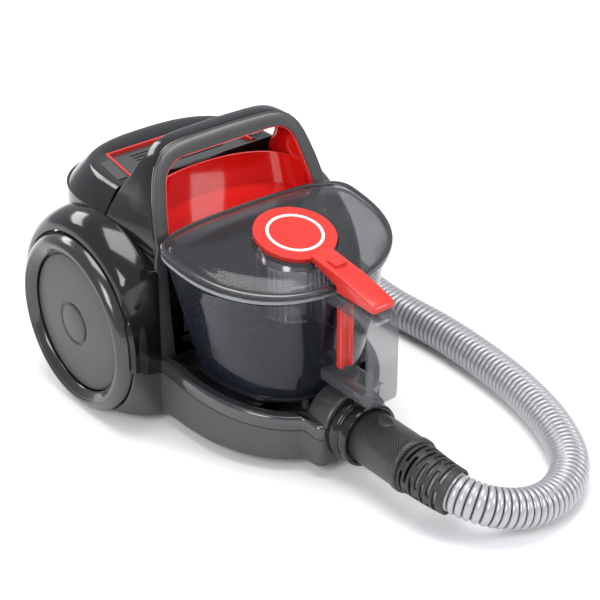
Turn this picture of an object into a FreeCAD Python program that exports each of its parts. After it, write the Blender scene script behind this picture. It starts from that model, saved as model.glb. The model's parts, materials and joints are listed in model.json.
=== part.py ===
"""Canister vacuum cleaner with a lift-out cyclonic bin, as an assembly of separate pieces.

Units are millimetres.  +X is right seen from the hose end, -Y is the hose end (front), +Z is up.
The origin is on the floor, under the middle of the machine without its hose.  Most places along
the machine are given as a distance ahead of the rear axle, because the body is built round it.
"""
import FreeCAD, Part
import Sketcher
import math
import os

V = FreeCAD.Vector

# ---------------------------------------------------------------------------------------------
# Driving sizes
# ---------------------------------------------------------------------------------------------
SIZES = {
    # rear wheels
    "wheel_dia": 190, "axle_y": 98.5, "wheel_inner_x": 121, "wheel_width": 36, "tyre_depth": 18,
    "axle_dia": 8, "running_gap": 0.05, "hub_cap_dia": 42,
    # body shells
    "body_half_width": 118, "foot_half_width": 105, "shell_wall": 2.5, "floor_gap": 11.5,
    "foot_ahead": 86, "tail_behind": 115, "seam_height": 68.5, "seam_slope": 0.0912,
    "nose_half_width": 103, "nose_ahead": 252, "port_half_width": 43, "port_ahead": 266,
    "shoulder_height": 213, "deck_height": 238, "deck_half_width": 90, "deck_behind": 84,
    "deck_front_ahead": 12, "bulkhead_ahead": 47,
    # carrying handle
    "arch_height": 296, "arch_lean": 19, "arch_bar_depth": 26, "arch_trim": 4, "arch_bar": 16,
    # bin bay
    "band_height": 15, "band_width": 11, "bay_floor": 65, "bay_wall": 2,
    # bin
    "bin_half_width": 80, "bin_rear_ahead": 100, "bin_front_ahead": 231, "bin_floor": 71.2,
    "bin_wall": 2.2, "bin_flare": 35, "lid_half_width": 117, "lid_rear_ahead": 86,
    "lid_front_ahead": 250.5, "lid_centre_ahead": 173, "lid_height": 205.3, "lid_tilt": 7,
    "disc_dia": 83, "disc_tilt": 12, "disc_height": 222, "grip_ahead": 312, "grip_half_width": 16,
    "shroud_dia": 76, "shroud_height": 62,
    # hose side
    "port_height": 47.5, "collar_dia": 66.6, "collar_ahead": 291.7, "connector_dia": 55.2,
    "connector_length": 68, "hose_dia": 40, "hose_wall": 2.5, "sleeve_length": 42, "duct_dia": 32,
    "spigot_dia": 34.8, "spigot_length": 42,
    # drive and cord store
    "motor_dia": 100, "motor_length": 92, "motor_height": 80, "shaft_dia": 8, "reel_dia": 128,
    "reel_width": 26, "reel_height": 168, "spindle_dia": 12,
    # front caster
    "caster_dia": 26, "caster_ahead": 190, "caster_trail": 10, "caster_width": 11,
    # controls
    "pedal_travel": 3, "button_travel": 2.5,
}

doc = FreeCAD.newDocument("canister_vacuum")
sheet = doc.addObject("Spreadsheet::Sheet", "sizes")
for row, (alias, number) in enumerate(SIZES.items(), start=1):
    sheet.set("A%d" % row, alias)
    sheet.set("B%d" % row, str(number))
    sheet.setAlias("B%d" % row, alias)
doc.recompute()


class Size:
    """A sheet value, or a sum or share of sheet values: a number and its formula together."""

    def __init__(self, number, formula):
        self.number = number
        self.formula = formula

    def __float__(self):
        return self.number

    def __add__(self, other):
        return joined(self, "+", other, float(self) + float(other))

    def __radd__(self, other):
        return joined(other, "+", self, float(other) + float(self))

    def __sub__(self, other):
        return joined(self, "-", other, float(self) - float(other))

    def __rsub__(self, other):
        return joined(other, "-", self, float(other) - float(self))

    def __mul__(self, other):
        return joined(self, "*", other, float(self) * float(other))

    def __rmul__(self, other):
        return joined(other, "*", self, float(other) * float(self))

    def __truediv__(self, other):
        return joined(self, "/", other, float(self) / float(other))

    def __neg__(self):
        return joined(0, "-", self, -float(self))


def formula_of(value):
    if isinstance(value, Size):
        return value.formula
    return "(%r)" % float(value)


def joined(left, sign, right, number):
    return Size(number, "(%s %s %s)" % (formula_of(left), sign, formula_of(right)))


class Sheet:
    """Reads a cell of the sheet by its alias."""

    def __getattr__(self, alias):
        return Size(float(getattr(sheet, alias)), "sizes." + alias)


S = Sheet()
nodes = []

WHEEL_R = S.wheel_dia / 2
AXLE_Y = S.axle_y
WHEEL_OUT = S.wheel_inner_x + S.wheel_width


def ahead(distance):
    """Y of a place that is this far ahead of the rear axle."""
    return AXLE_Y - distance


# ---------------------------------------------------------------------------------------------
# Helpers: primitives, turned bodies and plates bound to the sheet
# ---------------------------------------------------------------------------------------------
def keep(piece, label):
    """Names a finished sub-part and lists it for export."""
    piece.Label = label
    nodes.append(piece)
    return piece


def place(piece, at, axis=(0, 0, 1)):
    """Turns the piece's own Z to the axis and binds its place to the sheet."""
    piece.Placement = FreeCAD.Placement(V(0, 0, 0), FreeCAD.Rotation(V(0, 0, 1), V(*axis)))
    for letter, value in zip("xyz", at):
        piece.setExpression("Placement.Base." + letter, formula_of(value))


def cylinder(radius, length, at, axis=(0, 0, 1)):
    piece = doc.addObject("Part::Cylinder", "cylinder")
    piece.setExpression("Radius", formula_of(radius))
    piece.setExpression("Height", formula_of(length))
    place(piece, at, axis)
    return piece


def box(dx, dy, dz, at):
    """A box centred on X, with its low Y and Z corner at the given place."""
    piece = doc.addObject("Part::Box", "box")
    piece.setExpression("Length", formula_of(dx))
    piece.setExpression("Width", formula_of(dy))
    piece.setExpression("Height", formula_of(dz))
    place(piece, (at[0] - dx / 2, at[1], at[2]))
    return piece


def fuse(*pieces):
    joint = doc.addObject("Part::MultiFuse", "joined")
    joint.Shapes = list(pieces)
    return joint


def cut(base, *tools):
    piece = doc.addObject("Part::Cut", "cut")
    piece.Base = base
    piece.Tool = tools[0] if len(tools) == 1 else fuse(*tools)
    return piece


def tube(outer, inner, length, at, axis=(0, 0, 1)):
    return cut(cylinder(outer, length, at, axis), cylinder(inner, length, at, axis))


def drawn_polygon(body, plane, points):
    """A closed polygon in a sketch on one of the body's planes, each corner bound to the sheet."""
    sketch = body.newObject("Sketcher::SketchObject", body.Name + "_sketch")
    for origin_plane in body.Origin.OriginFeatures:
        if origin_plane.Role == plane:
            sketch.AttachmentSupport = [(origin_plane, "")]
    sketch.MapMode = "FlatFace"
    corners = [V(float(px), float(py), 0) for px, py in points]
    count = len(corners)
    for i in range(count):
        sketch.addGeometry(Part.LineSegment(corners[i], corners[(i + 1) % count]), False)
    for i in range(count):
        sketch.addConstraint(Sketcher.Constraint("Coincident", i, 2, (i + 1) % count, 1))
    for i, corner in enumerate(points):
        for kind, value, own_axis in (("DistanceX", corner[0], -2), ("DistanceY", corner[1], -1)):
            if abs(float(value)) < 1e-9:
                sketch.addConstraint(Sketcher.Constraint("PointOnObject", i, 1, own_axis))
                continue
            number = sketch.addConstraint(
                Sketcher.Constraint(kind, -1, 1, i, 1, float(value)))
            sketch.setExpression("Constraints[%d]" % number, formula_of(value))
    return sketch


def turned_body(label, profile, at, axis=(0, 0, 1)):
    """A PartDesign body turned about its own Z from (radius, height) corners."""
    body = doc.addObject("PartDesign::Body", label + "_body")
    sketch = drawn_polygon(body, "XZ_Plane", profile)
    turn = body.newObject("PartDesign::Revolution", label + "_turn")
    turn.Profile = sketch
    turn.ReferenceAxis = (sketch, ["V_Axis"])
    turn.Angle = 360
    sketch.Visibility = False
    body.Tip = turn
    place(body, at, axis)
    return body


def turned(label, profile, at, axis=(0, 0, 1)):
    return keep(turned_body(label, profile, at, axis), label)


def plate(label, outline, thickness, at, plane="XY_Plane", both_ways=False):
    """A PartDesign body padded from a polygon."""
    body = doc.addObject("PartDesign::Body", label + "_body")
    sketch = drawn_polygon(body, plane, outline)
    pad = body.newObject("PartDesign::Pad", label + "_pad")
    pad.Profile = sketch
    pad.setExpression("Length", formula_of(thickness))
    pad.Midplane = both_ways
    sketch.Visibility = False
    body.Tip = pad
    place(body, at)
    return body


# ---------------------------------------------------------------------------------------------
# Helpers: shapes made in code, for the moulded shells
# ---------------------------------------------------------------------------------------------
def moulded(label, shape):
    piece = doc.addObject("Part::Feature", label + "_shape")
    piece.Shape = shape
    piece.Placement = shape.Placement
    return keep(piece, label)


def prism(points, along, low, high):
    """A polygon in the plane across one axis, extruded along that axis from low to high."""
    put = {
        "x": lambda p: V(float(low), float(p[0]), float(p[1])),
        "y": lambda p: V(float(p[0]), float(low), float(p[1])),
        "z": lambda p: V(float(p[0]), float(p[1]), float(low)),
    }[along]
    way = {"x": V(1, 0, 0), "y": V(0, 1, 0), "z": V(0, 0, 1)}[along]
    loop = [put(p) for p in points]
    face = Part.Face(Part.makePolygon(loop + [loop[0]]))
    return face.extrude(way * (float(high) - float(low)))


def round_bar(radius, length, at, axis):
    return Part.makeCylinder(float(radius), float(length), V(*[float(c) for c in at]), V(*axis))


def block(x_low, x_high, y_low, y_high, z_low, z_high):
    low = V(float(x_low), float(y_low), float(z_low))
    return Part.makeBox(float(x_high) - float(x_low), float(y_high) - float(y_low),
                        float(z_high) - float(z_low), low)


def loop_wire(z, back_half, back_y, side_half, side_y, tip_y, power=(2.4, 2.2), steps=14):
    """A plan outline: a straight back edge, straight flanks and a superellipse round the tip."""
    z, back_half, back_y, side_half, side_y, tip_y = [
        float(value) for value in (z, back_half, back_y, side_half, side_y, tip_y)]
    curve = []
    for step in range(2 * steps + 1):
        angle = math.pi * step / (2 * steps)
        across = math.copysign(abs(math.cos(angle)) ** (2 / power[1]), math.cos(angle))
        along = math.sin(angle) ** (2 / power[0]) if 0 < step < 2 * steps else 0.0
        curve.append(V(side_half * across, side_y + (tip_y - side_y) * along, z))
    spline = Part.BSplineCurve()
    spline.interpolate(curve)
    right, left = curve[0], curve[-1]
    back_right = V(back_half, back_y, z)
    back_left = V(-back_half, back_y, z)
    edges = [Part.LineSegment(back_left, back_right).toShape(),
             Part.LineSegment(back_right, right).toShape(),
             spline.toShape(),
             Part.LineSegment(left, back_left).toShape()]
    return Part.Wire(edges)


def bin_wire(z, half_width, rear_y, front_y, steps=12):
    """The bin's plan outline: squared-off at the rear, egg-shaped towards the front."""
    z, half_width, rear_y, front_y = float(z), float(half_width), float(rear_y), float(front_y)
    widest_y = rear_y + 0.24 * (front_y - rear_y)
    points = []
    for step in range(4 * steps):
        angle = math.pi * 2 * step / (4 * steps)
        power = (2.2, 2.4) if math.sin(angle) > 0 else (3.2, 3.2)
        tip_y = front_y if math.sin(angle) > 0 else rear_y
        across = math.copysign(abs(math.cos(angle)) ** (2 / power[1]), math.cos(angle))
        along = abs(math.sin(angle)) ** (2 / power[0])
        points.append(V(half_width * across, widest_y + (tip_y - widest_y) * along, z))
    spline = Part.BSplineCurve()
    spline.interpolate(Points=points, PeriodicFlag=True)
    quarters = [spline.parameter(points[steps * quarter]) for quarter in (1, 2, 3)]
    marks = [spline.FirstParameter] + quarters + [spline.LastParameter]
    return Part.Wire([spline.toShape(start, end) for start, end in zip(marks, marks[1:])])


def lofted(*wires):
    return Part.makeLoft(list(wires), True, True)


def below_seam(lift=0.0):
    """Everything under the sloping seam between the base and the upper mouldings."""
    rear = float(AXLE_Y) + 400
    front = float(AXLE_Y) - 400
    height = float(S.seam_height) + lift
    slope = float(S.seam_slope)
    return prism([(front, -50), (rear, -50), (rear, height + slope * 400),
                  (front, height - slope * 400)], "x", -300, 300)


def seam_at(distance_ahead):
    return S.seam_height - S.seam_slope * distance_ahead


def below_shoulder(lift=0.0):
    """Everything under the line where the side walls meet the handle and the rear cover."""
    y0 = float(AXLE_Y)
    top = float(S.shoulder_height) + lift
    fall = 0.26
    return prism([(y0 - 400, -50), (y0 + 400, -50), (y0 + 400, top), (y0 + 8, top),
                  (y0 - 400, top - fall * 408)], "x", -300, 300)


# ---------------------------------------------------------------------------------------------
# Base and upper body shells
# ---------------------------------------------------------------------------------------------
WALL = S.shell_wall
FLOOR = S.floor_gap
PORT_Z = S.port_height
PIVOT_Y = ahead(S.caster_ahead)
WELL_R = S.caster_trail + S.caster_dia / 2 + 5
WELL_TOP = S.caster_dia + 4.5
SCREW_R = 2.5
SCREW_PLACES = ((-78, 60), (78, 60), (-70, -80), (70, -80), (-60, 170), (60, 170))


def rear_block(z, inset, extra=0.0):
    """Plan outline of the body between the wheels."""
    return loop_wire(z, S.foot_half_width - inset, ahead(S.foot_ahead) - extra,
                     S.body_half_width - inset, AXLE_Y, AXLE_Y + S.tail_behind - inset,
                     power=(3.0, 2.6))


def flank_half(distance_ahead):
    """Half the body's width where its flanks narrow towards the foot of the handle."""
    narrowing = (S.body_half_width - S.foot_half_width) / S.foot_ahead
    return S.body_half_width - narrowing * distance_ahead


def nose_block(z, inset, back=60):
    """Plan outline of the body round the bin."""
    return loop_wire(z, S.nose_half_width - inset, ahead(back), S.nose_half_width - inset,
                     ahead(105), ahead(S.nose_ahead) + inset, power=(2.5, 2.2))


def base_volume(inset, bottom):
    tall = 120
    parts = [Part.Face(rear_block(bottom, inset)).extrude(V(0, 0, tall)),
             Part.Face(nose_block(bottom, inset)).extrude(V(0, 0, tall)),
             block(-S.port_half_width + inset, S.port_half_width - inset,
                   ahead(S.port_ahead) + inset, ahead(200), bottom, 100)]
    return parts[0].fuse(parts[1:])


def wheel_room(extra):
    """The space that each rear wheel needs, outside the body's flanks."""
    radius = WHEEL_R + extra
    start = S.wheel_inner_x - 2
    right = round_bar(radius, 80, (start, AXLE_Y, WHEEL_R), (1, 0, 0))
    left = round_bar(radius, 80, (-start, AXLE_Y, WHEEL_R), (-1, 0, 0))
    return right.fuse(left)


def make_base():
    outer = base_volume(0, FLOOR)
    inner = base_volume(WALL, FLOOR + WALL)
    shell = outer.cut(inner)
    for side in (-1, 1):
        cheek = prism([(side * (S.foot_half_width - 1), ahead(S.foot_ahead - 4)),
                       (side * (WHEEL_OUT - 14), ahead(S.foot_ahead + 2)),
                       (side * (WHEEL_OUT - 14), ahead(40)),
                       (side * (S.foot_half_width - 1), ahead(40))], "z", FLOOR, 90)
        shell = shell.fuse(cheek.cut(inner))
    shell = shell.common(below_seam()).cut(wheel_room(2.5))
    shell = shell.cut(block(-200, 200, ahead(S.foot_ahead + 20), ahead(40), seam_at(90), 120)
                      .cut(below_seam()))
    # caster well with its boss, and the mouth for the hose
    well_wall = round_bar(WELL_R + WALL, WELL_TOP + WALL - FLOOR, (0, PIVOT_Y, FLOOR), (0, 0, 1))
    boss = round_bar(9, 14, (0, PIVOT_Y, WELL_TOP), (0, 0, 1))
    well = round_bar(WELL_R, WELL_TOP - FLOOR + 1, (0, PIVOT_Y, FLOOR - 1), (0, 0, 1))
    stem_hole = round_bar(4 + S.running_gap, 40, (0, PIVOT_Y, FLOOR), (0, 0, 1))
    shell = shell.fuse([well_wall, boss]).cut(well).cut(stem_hole)
    for place_y in (10, float(S.motor_length) - 22):
        low_y = ahead(22) + place_y
        saddle = block(-32, 32, low_y, low_y + 12, FLOOR + 1, S.motor_height - 35)
        shell = shell.fuse(saddle.cut(round_bar(S.motor_dia / 2 + 5, 40, (
            0, low_y - 10, S.motor_height), (0, 1, 0))))
    for across, forward in SCREW_PLACES:
        shell = shell.cut(round_bar(SCREW_R, 20, (across, ahead(forward), FLOOR - 1), (0, 0, 1)))
    mouth = round_bar(S.collar_dia / 2 - 4, 60, (0, ahead(S.port_ahead) - 5, PORT_Z), (0, 1, 0))
    shell = shell.cut(mouth)
    return shell


def upper_body_solid(inset, low, high, extra=0.0):
    return lofted(rear_block(low, inset, extra), rear_block(high, inset, extra))


def make_upper_housing():
    low = float(seam_at(S.foot_ahead)) - 20
    high = float(S.shoulder_height) + 5
    outer = upper_body_solid(0, low, high, extra=-S.arch_trim)
    inner = upper_body_solid(WALL, low - 1, high + 1, extra=5)
    wall = outer.cut(inner)
    bulkhead = block(-S.body_half_width + 3, S.body_half_width - 3, ahead(S.bulkhead_ahead),
                     ahead(S.bulkhead_ahead) + WALL, low, SCOOP_LOW - 0.5).common(outer)
    window = block(-48, 48, ahead(S.bulkhead_ahead) - 1, ahead(S.bulkhead_ahead) + WALL + 1,
                   S.motor_height - 12, S.motor_height + 74)
    duct_hole = round_bar(S.duct_dia / 2 + 1, 12, (DUCT_X, ahead(S.bulkhead_ahead) - 5, 40),
                          (0, 1, 0))
    shell = wall.fuse(bulkhead.cut(window).cut(duct_hole))
    for side in (-1, 1):
        boss = round_bar(S.axle_dia / 2 + 7, 22, (side * (S.body_half_width - 22), AXLE_Y, WHEEL_R),
                         (side, 0, 0))
        bore = round_bar(S.axle_dia / 2, 60, (side * (S.body_half_width - 40), AXLE_Y, WHEEL_R),
                         (side, 0, 0))
        shell = shell.fuse(boss).cut(bore)
    shell = shell.cut(below_seam()).common(below_shoulder())
    outlet = round_bar(7, 30, (0, AXLE_Y + S.tail_behind - 20, GLAND_Z), (0, 1, 0))
    return shell.cut(outlet)


DUCT_X = 50.0
GLAND_Z = 88.0
SCOOP_LOW = 198.0

moulded("base_chassis", make_base())
moulded("upper_housing", make_upper_housing())


# ---------------------------------------------------------------------------------------------
# Band round the bin, and the bay that the bin stands in
# ---------------------------------------------------------------------------------------------
def make_band():
    """The satin rim that runs round the bin, one seam height above the base."""
    outer = Part.Face(nose_block(0, 0, back=S.foot_ahead)).extrude(V(0, 0, 120))
    inner = Part.Face(nose_block(-1, S.band_width, back=S.foot_ahead - 5)).extrude(V(0, 0, 122))
    port_top = block(-S.port_half_width, S.port_half_width, ahead(S.port_ahead),
                     ahead(S.nose_ahead - 12), 0, 120)
    hood = round_bar(S.collar_dia / 2 + 4, S.port_ahead - S.nose_ahead + 22,
                     (0, ahead(S.port_ahead), PORT_Z), (0, 1, 0))
    band = outer.fuse(port_top).common(below_seam(float(S.band_height))).fuse(hood)
    band = band.cut(inner).cut(below_seam())
    mouth = round_bar(S.collar_dia / 2 - 4, 60, (0, ahead(S.port_ahead) - 5, PORT_Z), (0, 1, 0))
    return band.cut(mouth)


def make_cradle():
    """The tray under the bin: a floor and a low wall inside the band."""
    gap = 0.4
    inset = S.band_width + gap
    outer = Part.Face(nose_block(S.bay_floor, inset, back=90)).extrude(V(0, 0, 60))
    inner = Part.Face(nose_block(S.bay_floor + S.bay_wall, inset + S.bay_wall, back=92)).extrude(
        V(0, 0, 60))
    return outer.cut(inner).common(below_seam(float(S.band_height)))


moulded("bin_surround", make_band())
moulded("bin_cradle", make_cradle())


# ---------------------------------------------------------------------------------------------
# Carrying handle: black arch, satin face, red scoop
# ---------------------------------------------------------------------------------------------
LEAN = math.radians(float(S.arch_lean))
ARCH_TOP = float(S.arch_height)
KNEE_Z = 205.0


def face_y(z, back=0.0):
    """Y of the arch's front face at a height, or of a layer that is set back from it."""
    foot = float(ahead(S.foot_ahead))
    if z <= KNEE_Z - 20:
        return foot + back
    knee = foot - 6
    if z <= KNEE_Z:
        return foot + (knee - foot) * (z - KNEE_Z + 20) / 20 + back
    return knee + math.tan(LEAN) * (z - KNEE_Z) + back


def arch_outline(grow=0.0, low=60.0):
    """Front view of the arch's outside, from one foot over the bar to the other."""
    top = ARCH_TOP
    half = [(float(S.foot_half_width) + 1, low), (float(S.foot_half_width) + 1.5, 212),
            (103, 232), (98.5, 250), (93, 268), (88, 278), (81, 286), (72, top - 4), (58, top - 1),
            (30, top)]
    right = [(x + grow, z + (grow if z > 240 else 0)) for x, z in half]
    return right + [(-x, z) for x, z in reversed(right)]


def opening_outline(shrink=0.0, low=60.0):
    """Front view of the handle's opening."""
    top = ARCH_TOP - float(S.arch_bar)
    half = [(94, low), (95, 185), (91, 212), (86.5, 237), (82, 255), (79.5, 264), (75, 272),
            (67, top - 3), (56, top - 0.5), (30, top)]
    right = [(x - shrink, z - (shrink if z > 240 else 0)) for x, z in half]
    return right + [(-x, z) for x, z in reversed(right)]


def arch_layer(front, back, low, high):
    """The slice of the leaning arch between two depths behind its front face."""
    heights = [low, KNEE_Z - 20, KNEE_Z, high]
    profile = [(face_y(z, front), z) for z in heights]
    profile += [(face_y(z, back), z) for z in reversed(heights)]
    return prism(profile, "x", -200, 200)


def make_trim():
    depth = float(S.arch_trim)
    ring = prism(arch_outline(), "y", -100, 200).cut(prism(opening_outline(low=0), "y", -101, 201))
    slab = arch_layer(0, depth, 40, ARCH_TOP + 20)
    return ring.common(slab).cut(below_seam(0.2))


def make_arch():
    """The black shell behind the face: a bar over the top and a deep foot at each side."""
    trim = float(S.arch_trim)
    bar_back = float(S.arch_bar_depth)
    rear_y = float(ahead(S.deck_front_ahead))
    outline = [(118, 150), (118, 190), (113, 205)] + arch_outline()[1:10]
    full = outline + [(-x, z) for x, z in reversed(outline)]
    ring = prism(full, "y", -100, 200).cut(prism(opening_outline(-0.3, 0), "y", -101, 201))
    side = [(face_y(150, trim), 150), (face_y(185, trim), 185), (face_y(KNEE_Z, trim), KNEE_Z),
            (face_y(ARCH_TOP + 10, trim), ARCH_TOP + 10),
            (face_y(ARCH_TOP + 10, bar_back), ARCH_TOP + 10),
            (face_y(276, bar_back + 2), 276), (float(ahead(28)), 255), (float(ahead(15)), 236),
            (rear_y, 222), (rear_y, 150)]
    body = ring.common(prism(side, "x", -200, 200))
    plan = Part.Face(loop_wire(100, flank_half(S.foot_ahead + 12), ahead(S.foot_ahead + 12),
                               S.body_half_width, AXLE_Y, AXLE_Y + S.tail_behind,
                               power=(3.0, 2.6))).extrude(V(0, 0, 250))
    return body.common(plan).cut(below_shoulder(0.2))


def make_liner():
    """The red scoop: a lip round the opening and a curved wall behind the bin."""
    lip = prism(opening_outline(0, low=216), "y", -100, 200).cut(
        prism(opening_outline(2.2, low=216), "y", -101, 201))
    lip = lip.common(arch_layer(-1, float(S.arch_bar_depth) - 2, 216, ARCH_TOP))
    lip = lip.cut(block(-100, 100, -200, 200, 200, 222))
    deck = float(S.deck_height) - 2
    front = ahead(S.foot_ahead - 8)
    tip = ahead(S.deck_front_ahead + 1)
    low_half = 92.5
    top_half = 86.6
    slope = (low_half - top_half) / (float(deck) - SCOOP_LOW)
    wall = 2.2
    outer = lofted(
        loop_wire(SCOOP_LOW, low_half, front, low_half, ahead(66), tip, power=(2.2, 2.2)),
        loop_wire(deck, top_half, front, top_half, ahead(66), tip, power=(2.2, 2.2)))
    inner_low = low_half - wall - 2 * slope
    inner_top = top_half - wall - 2 * slope
    inner = lofted(
        loop_wire(SCOOP_LOW + 2, inner_low, front - 3, inner_low, ahead(66), tip - wall,
                  power=(2.2, 2.2)),
        loop_wire(deck + 2, inner_top, front - 3, inner_top, ahead(66), tip - wall,
                  power=(2.2, 2.2)))
    scoop = outer.cut(inner).cut(arch_layer(-60, 7, 100, 320))
    return lip.fuse(scoop)


moulded("handle_trim", make_trim())
moulded("handle_arch", make_arch())
moulded("handle_liner", make_liner())


# ---------------------------------------------------------------------------------------------
# Rear cover with its red trim, exhaust cover and the two pedals
# ---------------------------------------------------------------------------------------------
SHOULDER = S.shoulder_height
DECK = S.deck_height
PANEL_HALF = 66.0
PANEL_FRONT = ahead(S.deck_front_ahead - 4)
PANEL_REAR = AXLE_Y + 58
PEDAL_WIDTH = 15.0


def dome_solid(inset):
    front = ahead(S.deck_front_ahead)
    front_half = flank_half(S.deck_front_ahead) - inset
    low = loop_wire(SHOULDER - 8 - (1 if inset else 0), front_half, front,
                    S.body_half_width - inset, AXLE_Y, AXLE_Y + S.tail_behind - inset,
                    power=(3.0, 2.6))
    mid = loop_wire(SHOULDER, front_half, front, S.body_half_width - inset, AXLE_Y,
                    AXLE_Y + S.tail_behind - 4 - inset, power=(3.0, 2.6))
    top = loop_wire(DECK - inset, S.deck_half_width + 8 - inset, front,
                    S.deck_half_width + 2 - inset, AXLE_Y + 10, AXLE_Y + S.deck_behind - inset,
                    power=(3.2, 2.8))
    return lofted(low, mid).fuse(lofted(mid, top))


def panel_outline(grow):
    return [(-PANEL_HALF - 10 - grow, PANEL_FRONT - grow), (PANEL_HALF + 10 + grow,
            PANEL_FRONT - grow), (PANEL_HALF + grow, PANEL_REAR + grow),
            (-PANEL_HALF - grow, PANEL_REAR + grow)]


def pedal_outline(side, grow):
    inner = PANEL_HALF + 3.5
    return [(side * (inner + 9 - grow), PANEL_FRONT + 8 - grow),
            (side * (inner + 9 + PEDAL_WIDTH - 4 + grow), PANEL_FRONT + 8 - grow),
            (side * (inner + PEDAL_WIDTH - 2 + grow), PANEL_REAR - 16 + grow),
            (side * (inner - grow + 2), PANEL_REAR - 16 + grow)]


def make_rear_cover():
    shell = dome_solid(0).cut(dome_solid(WALL))
    shell = shell.cut(prism(panel_outline(0.5), "z", DECK - 12, DECK + 5))
    for side in (-1, 1):
        shell = shell.cut(prism(pedal_outline(side, 0.5), "z", DECK - 30, DECK + 5))
    # a rim and a ledge under the panel's opening carry the exhaust filter
    rim = prism(panel_outline(2), "z", DECK - 14, DECK - 1).cut(
        prism(panel_outline(0.5), "z", DECK - 15, DECK))
    ledge = prism(panel_outline(2), "z", DECK - 14, DECK - 12).cut(
        prism(panel_outline(-6), "z", DECK - 15, DECK - 11))
    rim = rim.fuse(ledge).common(dome_solid(0))
    return shell.fuse(rim).cut(below_shoulder(0.2))


moulded("rear_cover", make_rear_cover())

moulded("red_trim", prism(panel_outline(0.3), "z", DECK - 4, DECK + 0.8).cut(
    prism(panel_outline(-2.2), "z", DECK - 5, DECK + 2)).cut(
    block(-150, 150, PANEL_FRONT - 5, PANEL_FRONT + 2.5, 200, 260)))


COVER_GAP = 2.8
COVER_HINGE_R = 1.25
COVER_HINGE_Y = PANEL_REAR - COVER_GAP - COVER_HINGE_R
COVER_HINGE_Z = DECK - 5 + COVER_HINGE_R


def make_exhaust_cover():
    """A slotted panel that hinges on the round bar along its rear edge."""
    lid = prism(panel_outline(-COVER_GAP), "z", DECK - 5, DECK - 2.5)
    lid = lid.cut(block(-90, 90, COVER_HINGE_Y, COVER_HINGE_Y + 9, DECK - 9, DECK + 1))
    hinge_half = PANEL_HALF - COVER_GAP - 0.5
    lid = lid.fuse(round_bar(COVER_HINGE_R, 2 * hinge_half,
                             (-hinge_half, COVER_HINGE_Y, COVER_HINGE_Z), (1, 0, 0)))
    for i in range(7):
        y_slot = float(PANEL_FRONT) + 14 + 6 * i
        lid = lid.cut(block(-46, 46, y_slot, y_slot + 2.4, DECK - 8, DECK))
    return lid


moulded("exhaust_cover", make_exhaust_cover())
moulded("exhaust_filter", prism([(-52, PANEL_FRONT + 10), (52, PANEL_FRONT + 10),
                                 (52, PANEL_REAR - 8), (-52, PANEL_REAR - 8)], "z",
                                DECK - 26, DECK - 15))

for side, label in ((-1, "power_pedal"), (1, "rewind_pedal")):
    outline = [(px, py) for px, py in pedal_outline(side, 0)]
    pedal = plate(label, outline, 9, (0, 0, DECK - 7.5))
    keep(pedal, label)


# ---------------------------------------------------------------------------------------------
# Wheel arches over the rear wheels
# ---------------------------------------------------------------------------------------------
def make_fender(side):
    """A gloss arch turned about the axle: a crowned band between the flank and the tyre."""
    radius = float(WHEEL_R)
    out = float(WHEEL_OUT)
    flank = float(S.body_half_width)
    foot_x = float(S.foot_half_width) - 4
    outer = [(out - 13, radius + 2.5), (out - 15, radius + 9), (out - 22, radius + 17),
             (out - 33, radius + 23), (flank, radius + 24), (foot_x, radius + 25)]
    inner = [(foot_x, radius + 22.5), (flank, radius + 21.5), (out - 34, radius + 20.5),
             (out - 24, radius + 14.5), (out - 18, radius + 7), (out - 16, radius + 2.5)]
    start = float(AXLE_Y)
    loop = [V(side * x, start, radius + r) for x, r in outer + inner]
    face = Part.Face(Part.makePolygon(loop + [loop[0]]))
    ring = face.revolve(V(0, start, radius), V(1, 0, 0), 360)
    foot = float(ahead(S.foot_ahead + 2))
    keep_room = block(-300, 300, foot, start + 200, radius - 25, 400)
    keep_room = keep_room.cut(block(-300, 300, start, start + 200, -10, radius - 5))
    ring = ring.common(keep_room).cut(below_seam(1.0))
    body = upper_body_solid(-0.2, 20, 300)
    front_leg = block(-S.foot_half_width - 2, S.foot_half_width + 2, foot - 30,
                      ahead(S.foot_ahead - 5), 0, 300)
    return ring.cut([body, front_leg])


for side, label in ((-1, "fender_left"), (1, "fender_right")):
    moulded(label, make_fender(side))


# ---------------------------------------------------------------------------------------------
# Rear wheels
# ---------------------------------------------------------------------------------------------
TREAD_R = WHEEL_R - S.tyre_depth
AXLE_R = S.axle_dia / 2

for side, word in ((-1, "left"), (1, "right")):
    inner_face = (side * S.wheel_inner_x, AXLE_Y, WHEEL_R)
    outwards = (side, 0, 0)
    width = S.wheel_width
    turned("tyre_" + word,
           [(TREAD_R, 0), (WHEEL_R - 4, 0), (WHEEL_R, 4), (WHEEL_R, width - 12),
            (WHEEL_R - 2, width - 5), (WHEEL_R - 7, width - 0.8), (WHEEL_R - 11, width),
            (WHEEL_R - 13, width - 1.5), (TREAD_R, width - 9)],
           inner_face, outwards)
    turned("wheel_disc_" + word,
           [(AXLE_R + S.running_gap, 1), (AXLE_R + 8, 1), (AXLE_R + 8, width - 14),
            (TREAD_R - 8, width - 16), (TREAD_R - 6, 6), (TREAD_R, 6), (TREAD_R, width - 11),
            (TREAD_R - 5, width - 11), (TREAD_R - 9, width - 9), (24, width - 6.5),
            (AXLE_R + S.running_gap, width - 6)],
           inner_face, outwards)
    turned("hub_cap_" + word,
           [(0, width - 5.8), (S.hub_cap_dia / 2, width - 5.8),
            (S.hub_cap_dia / 2, width - 4.4), (S.hub_cap_dia / 2 - 4, width - 3.2),
            (0, width - 2.6)],
           inner_face, outwards)

axle_length = S.wheel_width - 8 + S.wheel_inner_x - S.body_half_width + 20
keep(fuse(cylinder(AXLE_R, axle_length, (S.body_half_width - 20, AXLE_Y, WHEEL_R), (1, 0, 0)),
          cylinder(AXLE_R, axle_length, (20 - S.body_half_width, AXLE_Y, WHEEL_R), (-1, 0, 0))),
     "rear_axles")


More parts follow.
